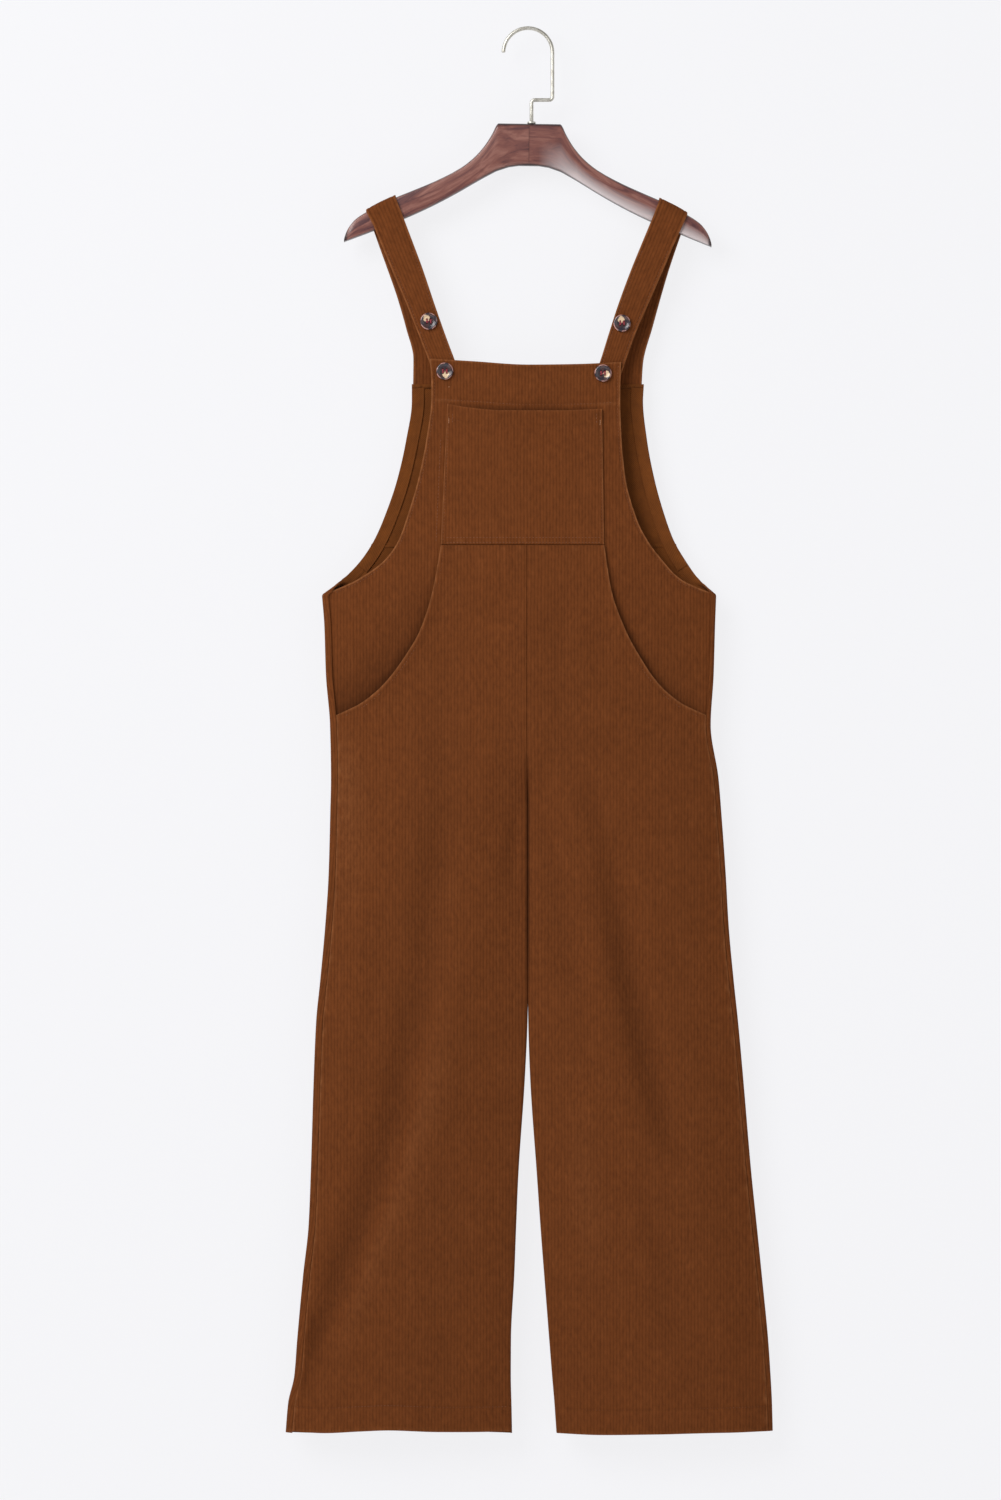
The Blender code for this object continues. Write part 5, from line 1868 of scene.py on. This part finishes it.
@dataclass
class Sewing:
    """All the stitched lines of the garment."""

    form: GarmentForm
    bib: Bib
    pocket: BibPocket
    fronts: dict[Side, LegFront]
    backs: dict[Side, BackHalf]
    straps: dict[Side, Strap]
    hem_level: float = -1444.0

    def bib_rows(self, thread: Material) -> None:
        """Armhole edges, top edge and facing line of the bib.

        Args:
            thread: finish of the thread.
        """
        made = Stitching("bib_stitching")
        inset = self.bib.edge_stitch
        x = np.linspace(-98.0, 93.0, 120)
        made.row(x, BIB_TOP.read("z", x) - inset, self.bib.face, Way.FRONT)
        x = np.linspace(-92.0, 88.0, 120)
        made.row(x, BIB_TOP.read("z", x) - self.bib.facing, self.bib.face, Way.FRONT)
        for side in Side:
            reach, z = inset_line(self.bib.edge(side), np.linspace(-353.0, -588.0, 240), inset)
            made.row(side.sign * reach, z, self.bib.face, Way.FRONT)
        z = np.linspace(-430.0, -538.0, 60)
        made.row(-self.pocket.side_x(Side.LEFT, z) - 5.2, z, self.bib.face, Way.FRONT)
        made.build(thread)

    def pocket_rows(self, thread: Material) -> None:
        """Hem, sides, base and corner tacks of the bib pocket.

        Args:
            thread: finish of the thread.
        """
        made = Stitching("bib_pocket_stitching")
        face, inset = self.pocket.face, self.pocket.side_stitch
        x = np.linspace(-82.0, 75.0, 110)
        made.row(x, BIB_POCKET_TOP.read("z", x) - self.pocket.hem, face, Way.FRONT)
        for side in Side:
            z = np.linspace(-402.0, -537.0, 100)
            made.row(side.sign * (self.pocket.side_x(side, z) - inset), z, face, Way.FRONT)
            z = np.linspace(-403.0, -414.0, 12)
            made.row(side.sign * (self.pocket.side_x(side, z) - inset - 4.0), z, face, Way.FRONT)
        for up in (2.4, 7.5):
            x = np.linspace(-86.0, 76.0, 110)
            made.row(x, np.full_like(x, self.form.waist_z + up), face, Way.FRONT)
        made.build(thread)

    def tacks(self, thread: Material) -> None:
        """Short bars of close stitches at the bib pocket's corners.

        Args:
            thread: finish of the thread.
        """
        made = Stitching("bar_tacks", pitch=1.0, length=1.6, width=1.3)
        for x, z in ((-83.0, -411.0), (75.6, -413.0)):
            made.row(np.array([x, x]), np.array([z + 2.5, z - 2.5]), self.pocket.face, Way.FRONT)
        made.row(np.array([-83.5, -82.0]), np.array([-375.8, -375.2]), self.bib.face, Way.FRONT)
        made.build(thread)

    def leg_rows(self, side: Side, thread: Material) -> None:
        """Pocket edge and hem of one leg front, and the hem and top edge of its back.

        Args:
            side: the side.
            thread: finish of the thread.
        """
        made = Stitching(f"leg_{side.value}_stitching")
        front, back = self.fronts[side], self.backs[side]
        for part, way, top, end, count in ((front, Way.FRONT, -545.0, -716.0, 160),
                                           (back, Way.BACK, -378.0, -566.0, 150)):
            reach, z = inset_line(part.reach, np.linspace(top, end, count), part.edge_stitch)
            made.row(side.sign * reach, z, part.face, way)
        inner, level = SIDES.read(side.value + "_in", self.hem_level) + 4.5, self.hem_level
        for part, way, outer in ((front, Way.FRONT, self.form.seam_reach(level, side) - 2.0),
                                 (back, Way.BACK, SIDES.read(side.value, level) - 9.0)):
            x = side.sign * np.linspace(inner, outer, 120)
            made.row(x, HEMS[side].read("z", x) + HEM_STITCH, part.face, way)
        x = side.sign * np.linspace(3.0, ARMHOLES.read("back_" + side.value, -380.0) - 3.0, 70)
        made.row(x, np.full_like(x, self.form.back_top_z - back.top_stitch), back.face, Way.BACK)
        made.build(thread)

    def strap_rows(self, side: Side, thread: Material) -> None:
        """Both edges of a strap, front and back.

        Args:
            side: the side.
            thread: finish of the thread.
        """
        strap = self.straps[side]
        made = Stitching(f"strap_{side.value}_stitching")
        for way, end in ((Way.FRONT, self.form.bib_top_z - strap.tucked),
                         (Way.BACK, self.form.back_top_z + 3.0)):
            for share in (strap.edge_stitch / strap.width, 1 - strap.edge_stitch / strap.width):
                z = np.linspace(strap.free_z, end, 90)

                def face(x: Array, level: Array, way: Way = way, share: float = share) -> Array:
                    """Strap's face along this line."""
                    return strap.face(x, level, way) + way.value * strap.edge_form(np.array(share))

                made.row(side.sign * strap.x_at(np.full_like(z, share), z, way), z, face, way)
        made.build(thread)

    def build(self, thread: Material, tack_thread: Material) -> None:
        """Every row.

        Args:
            thread: finish of the seams.
            tack_thread: finish of the bars.
        """
        self.bib_rows(thread)
        self.pocket_rows(thread)
        self.tacks(tack_thread)
        for side in Side:
            self.leg_rows(side, thread)
            self.strap_rows(side, thread)


# ---------------------------------------------------------------------------- hard pieces


def recalculate_normals(thing: Thing) -> None:
    """Merges doubles and turns every face outward.

    Args:
        thing: the object.
    """
    shape = bmesh.new()
    shape.from_mesh(thing.data)
    bmesh.ops.remove_doubles(shape, verts=shape.verts, dist=1e-6)
    bmesh.ops.recalc_face_normals(shape, faces=shape.faces)
    shape.to_mesh(thing.data)
    shape.free()


def choose(thing: Thing, kind: str, wanted: Callable[[object], bool]) -> None:
    """Selects only the edges or faces that pass a test, in edit mode.

    Args:
        thing: the object.
        kind: edges or faces.
        wanted: the test.
    """
    bpy.ops.mesh.select_all(action="DESELECT")
    shape = bmesh.from_edit_mesh(thing.data)
    for part in getattr(shape, kind):
        if wanted(part):
            part.select = True
    bmesh.update_edit_mesh(thing.data)


def settle_object(thing: Thing) -> None:
    """Applies an object's place, turn and size to its mesh."""
    activate(thing)
    bpy.ops.object.transform_apply(location=True, rotation=True, scale=True)


# A button's turned face from its foot up, over the rim and down into the dish.
BUTTON_PROFILE = table("inset height", (0.35, 1.0), (0.0, 1.7), (0.15, 2.4), (0.6, 3.0), (1.3, 3.3),
                       (2.1, 3.05), (2.8, 2.5), (3.6, 2.2), (5.4, 2.1))


@dataclass(frozen=True)
class Button:
    """Four-hole resin button with a raised rim and a dished middle, sewn on with thread."""

    name: str
    x: float
    z: float
    turn: float
    radius: float = 9.0
    foot: float = 1.2
    foot_height: float = 0.6
    hole: float = 1.05
    hole_step: float = 2.0
    strand: float = 0.34
    strand_step: float = 0.45
    strand_up: float = 1.9

    def disc(self, finish: Material) -> Thing:
        """Turned body with its holes, lying on Z.

        Args:
            finish: its finish.

        Returns:
            The button.
        """
        r = self.radius
        bpy.ops.mesh.primitive_cylinder_add(vertices=48, radius=r - self.foot, depth=self.foot_height,
                                            location=(0, 0, self.foot_height / 2))
        body = bpy.context.object
        body.name = self.name + "_resin"
        settle_object(body)
        bpy.ops.object.mode_set(mode="EDIT")
        choose(body, "faces", lambda face: face.normal.z > 0.9)
        now, level = r - self.foot, self.foot_height
        for inset, height in BUTTON_PROFILE.rows:
            bpy.ops.mesh.extrude_region_move(TRANSFORM_OT_translate={"value": (0, 0, height - level)})
            scale = (r - inset) / now
            bpy.ops.transform.resize(value=(scale, scale, 1), center_override=(0, 0, height))
            now, level = r - inset, height
        bpy.ops.object.mode_set(mode="OBJECT")
        for dx in (-1, 1):
            for dy in (-1, 1):
                bpy.ops.mesh.primitive_cylinder_add(
                    vertices=20, radius=self.hole, depth=12,
                    location=(dx * self.hole_step, dy * self.hole_step, 0))
                drill = bpy.context.object
                modify(body, "BOOLEAN", object=drill, solver="EXACT")
                bpy.data.objects.remove(drill, do_unlink=True)
        body.data.materials.clear()
        body.data.materials.append(finish)
        uv = body.data.uv_layers.get("UVMap")
        if uv:
            body.data.uv_layers.remove(uv)
        layer = body.data.uv_layers.new(name="face")
        c, s = math.cos(self.turn), math.sin(self.turn)
        for loop in body.data.loops:
            p = body.data.vertices[loop.vertex_index].co
            layer.data[loop.index].uv = ((p.x * c - p.y * s) * MM, (p.x * s + p.y * c) * MM)
        activate(body)
        bpy.ops.object.shade_smooth_by_angle(angle=math.radians(50))
        return body

    def threads(self, finish: Material) -> Thing:
        """Strands over the bars between the holes, each a flattened half turn.

        Args:
            finish: its finish.

        Returns:
            The strands as one piece.
        """
        step = self.hole_step
        strands = []
        for k in (-1, 0, 1):
            for line in (-1, 1):
                strands.append(((line * step + k * self.strand_step, 0.0), math.pi / 2, step))
        strands.append(((0.0, 0.0), math.pi / 4, step * math.sqrt(2)))
        pieces = []
        for (x, y), angle, reach in strands:
            bpy.ops.mesh.primitive_circle_add(vertices=8, radius=self.strand, location=(-reach, 0, 0))
            piece = bpy.context.object
            bpy.ops.object.mode_set(mode="EDIT")
            bpy.ops.mesh.select_all(action="SELECT")
            bpy.ops.mesh.spin(steps=14, angle=-math.pi, center=(0, 0, 0), axis=(0, 1, 0))
            bpy.ops.object.mode_set(mode="OBJECT")
            up = self.strand_up
            piece.data.transform(Matrix.Translation((x, y, up)) @ Matrix.Rotation(angle, 4, "Z")
                                 @ Matrix.Diagonal((1, 1, 0.5, 1)) @ Matrix.Translation(piece.location))
            piece.location = (0, 0, 0)
            pieces.append(piece)
        bpy.ops.object.select_all(action="DESELECT")
        for piece in pieces:
            piece.select_set(True)
        bpy.context.view_layer.objects.active = pieces[0]
        bpy.ops.object.join()
        sewn = pieces[0]
        sewn.name = self.name + "_thread"
        sewn.data.materials.append(finish)
        recalculate_normals(sewn)
        sewn.data.shade_smooth()
        return sewn

    def build(self, resin: Material, thread: Material) -> None:
        """Button and thread, placed where the solid is.

        Args:
            resin: finish of the button.
            thread: finish of the thread.
        """
        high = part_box(self.name)[1]
        at = Matrix.Translation((self.x * MM, high.y, self.z * MM))
        place = at @ Matrix.Rotation(math.pi / 2, 4, "X") @ Matrix.Scale(MM, 4)
        for thing in (self.disc(resin), self.threads(thread)):
            thing.data.transform(place)
            settle_object(thing)
            seat(thing, Slot.TORTOISESHELL, *([self.name] if thing.name.endswith("resin") else []))


@dataclass(frozen=True)
class Hanger:
    """Flat hardwood hanger in two halves glued at the middle, with a bent wire hook and its collar."""

    form: HangerForm
    wire: float = 4.0
    hook_radius: float = 25.7
    jog_z: float = -73.5
    bend: float = 3.4
    foot_x: float = 3.7
    foot_z: float = -98.5
    rounding: float = 5.2
    collar_clear: float = 0.25
    collar_wall: float = 2.3

    def stations(self) -> Array:
        """Places along one arm, closer together where its outline turns."""
        return runs(0.0, (31.5, 10.5), (33.0, 0.75), (48.0, 1.5), (72.0, 4.0), (170.0, 9.0), (186.0, 3.2),
                    (192.8, 1.1))

    def wood(self, finish: Material) -> Thing:
        """Both arms: a rounded block drawn out from the middle to the tip, then mirrored.

        Args:
            finish: its finish.

        Returns:
            The piece.
        """
        reach = self.stations()
        top, under = WOOD.read("top", reach), WOOD.read("under", reach)
        middle, height = (top + under) / 2, top - under
        thick = 2 * self.form.half_thick(reach)
        bpy.ops.mesh.primitive_cube_add(size=1, location=(reach[1] / 2, 0, middle[0]),
                                        scale=(reach[1], thick[0], height[0]))
        arm = bpy.context.object
        arm.name = "hanger_wood_rosewood"
        bpy.ops.object.transform_apply(location=True, rotation=True, scale=True)
        bpy.ops.object.mode_set(mode="EDIT")
        choose(arm, "edges", lambda edge: abs(edge.verts[0].co.x - edge.verts[1].co.x) > 1.0)
        bpy.ops.mesh.bevel(offset=self.rounding, segments=7, profile=0.5)
        choose(arm, "faces", lambda face: face.normal.x > 0.9)
        for k in range(1, len(reach) - 1):
            bpy.ops.mesh.extrude_region_move(TRANSFORM_OT_translate={
                "value": (reach[k + 1] - reach[k], 0, middle[k + 1] - middle[k])})
            bpy.ops.transform.resize(value=(1, thick[k + 1] / thick[k], height[k + 1] / height[k]),
                                     center_override=(reach[k + 1], 0, middle[k + 1]))
        bpy.ops.object.mode_set(mode="OBJECT")
        inner = bmesh.new()
        inner.from_mesh(arm.data)
        bmesh.ops.delete(inner, geom=[f for f in inner.faces if f.normal.x < -0.9], context="FACES")
        inner.to_mesh(arm.data)
        inner.free()
        modify(arm, "MIRROR", merge_threshold=0.01)
        recalculate_normals(arm)
        self.lay_grain(arm)
        arm.data.materials.append(finish)
        arm.data.transform(Matrix.Translation((self.form.shift, 0, 0))
                           @ Matrix.Rotation(self.form.tilt, 4, "Y"))
        arm.data.transform(Matrix.Scale(MM, 4))
        activate(arm)
        bpy.ops.object.shade_smooth_by_angle(angle=math.radians(35))
        return arm

    def lay_grain(self, arm: Thing) -> None:
        """UV map along the arm, with V from its lower to its upper edge.

        Args:
            arm: the wood.
        """
        for old in list(arm.data.uv_layers):
            arm.data.uv_layers.remove(old)
        layer = arm.data.uv_layers.new(name="arm")
        for face in arm.data.polygons:
            start = Rosewood.left_from if face.center.x < 0 else 0.0
            for k in face.loop_indices:
                p = arm.data.vertices[arm.data.loops[k].vertex_index].co
                reach = min(abs(p.x), WOOD.rows[-1][0])
                top, under = float(WOOD.read("top", reach)), float(WOOD.read("under", reach))
                layer.data[k].uv = (reach * MM + start, (p.z - under) / (top - under))

    def hook(self, finish: Material) -> Thing:
        """Wire drawn round: half a turn, a straight shank and a step in to the wood.

        Args:
            finish: its finish.

        Returns:
            The piece.
        """
        radius, bend = self.hook_radius, self.bend
        centre_z = self.wire / 2 - radius
        bpy.ops.mesh.primitive_circle_add(vertices=20, radius=self.wire / 2, fill_type="NGON",
                                          location=(-radius, 0, centre_z))
        wire = bpy.context.object
        wire.name = "hanger_hook_wire"
        settle_object(wire)
        bpy.ops.object.mode_set(mode="EDIT")
        bpy.ops.mesh.select_all(action="SELECT")
        bpy.ops.mesh.spin(steps=44, angle=-math.pi, center=(0, 0, centre_z), axis=(0, 1, 0))
        shank, step, foot = ((0, 0, self.jog_z + bend - centre_z), (self.foot_x + 2 * bend - radius, 0, 0),
                             (0, 0, self.foot_z - self.jog_z + bend))
        for run, angle, centre in ((shank, -math.pi / 2, (radius - bend, 0, self.jog_z + bend)),
                                   (step, math.pi / 2, (self.foot_x + bend, 0, self.jog_z - bend))):
            bpy.ops.mesh.extrude_region_move(TRANSFORM_OT_translate={"value": run})
            bpy.ops.mesh.spin(steps=10, angle=angle, center=centre, axis=(0, 1, 0))
        bpy.ops.mesh.extrude_region_move(TRANSFORM_OT_translate={"value": foot})
        bpy.ops.object.mode_set(mode="OBJECT")
        recalculate_normals(wire)
        modify(wire, "BEVEL", width=0.9, segments=3, limit_method="ANGLE", angle_limit=math.radians(60))
        wire.data.materials.append(finish)
        wire.data.transform(Matrix.Scale(MM, 4))
        wire.data.shade_smooth()
        return wire

    def collar(self, finish: Material) -> Thing:
        """Small washer round the wire where it enters the wood.

        Args:
            finish: its finish.

        Returns:
            The piece.
        """
        low, high = (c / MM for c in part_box("hook_collar"))
        inner, height = self.wire / 2 + self.collar_clear, high.z - low.z
        bpy.ops.mesh.primitive_cylinder_add(vertices=36, radius=inner, depth=height, end_fill_type="NOTHING",
                                            location=((low.x + high.x) / 2, 0, (low.z + high.z) / 2))
        washer = bpy.context.object
        washer.name = "hook_collar_washer"
        settle_object(washer)
        modify(washer, "SOLIDIFY", thickness=self.collar_wall, offset=1.0)
        modify(washer, "BEVEL", width=0.6, segments=3, limit_method="ANGLE")
        recalculate_normals(washer)
        washer.data.materials.append(finish)
        washer.data.transform(Matrix.Scale(MM, 4))
        washer.data.shade_smooth()
        return washer

    def build(self, wood: Material, nickel: Material) -> None:
        """All its pieces.

        Args:
            wood: finish of the arms.
            nickel: finish of the hook and collar.
        """
        seat(self.wood(wood), Slot.ROSEWOOD, "hanger_wood")
        seat(self.hook(nickel), Slot.NICKEL, "hanger_hook")
        seat(self.collar(nickel), Slot.NICKEL, "hook_collar")


BUTTONS = (
    Button("button_strap_left", -104.0, -306.6, math.radians(-85)),
    Button("button_strap_right", 98.5, -308.7, math.radians(-60)),
    Button("button_bib_left", -87.2, -359.1, math.radians(120)),
    Button("button_bib_right", 78.5, -361.2, math.radians(60)),
)


def main() -> None:
    """Builds the whole object over its frame."""
    logging.basicConfig(level=logging.INFO, format="%(name)s %(message)s")
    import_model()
    bpy.ops.object.select_all(action="DESELECT")
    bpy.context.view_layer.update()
    form, hanger = GarmentForm(), HangerForm()
    button_thread = Thread("button_thread", "A32A3A", "6A1824").make()
    wardrobe = Wardrobe(Corduroy().make(), CorduroyReverse().make())
    seam_thread = Thread("seam_thread", "7E4A2A", "643719").make()
    bib, pocket = Bib(form), BibPocket(form)
    fronts = {side: LegFront(form, side) for side in Side}
    backs = {side: BackHalf(form, side, hem_drop=2.2 if side is Side.LEFT else 0.0) for side in Side}
    straps = {side: Strap(form, hanger, side) for side in Side}
    Hanger(hanger).build(Rosewood().make(), SatinNickel().make())
    for side in Side:
        straps[side].build(wardrobe)
        backs[side].build(wardrobe)
        ArmholeEdge(backs[side]).build(wardrobe)
    bib.build(wardrobe)
    pocket.build(wardrobe)
    for side in Side:
        fronts[side].build(wardrobe)
    tack_thread = Thread("tack_thread", "A9744A", "8A5A36").make()
    Sewing(form, bib, pocket, fronts, backs, straps).build(seam_thread, tack_thread)
    resin = Tortoiseshell().make()
    for button in BUTTONS:
        button.build(resin, button_thread)
    Studio().build()


if __name__ == "__main__":
    main()
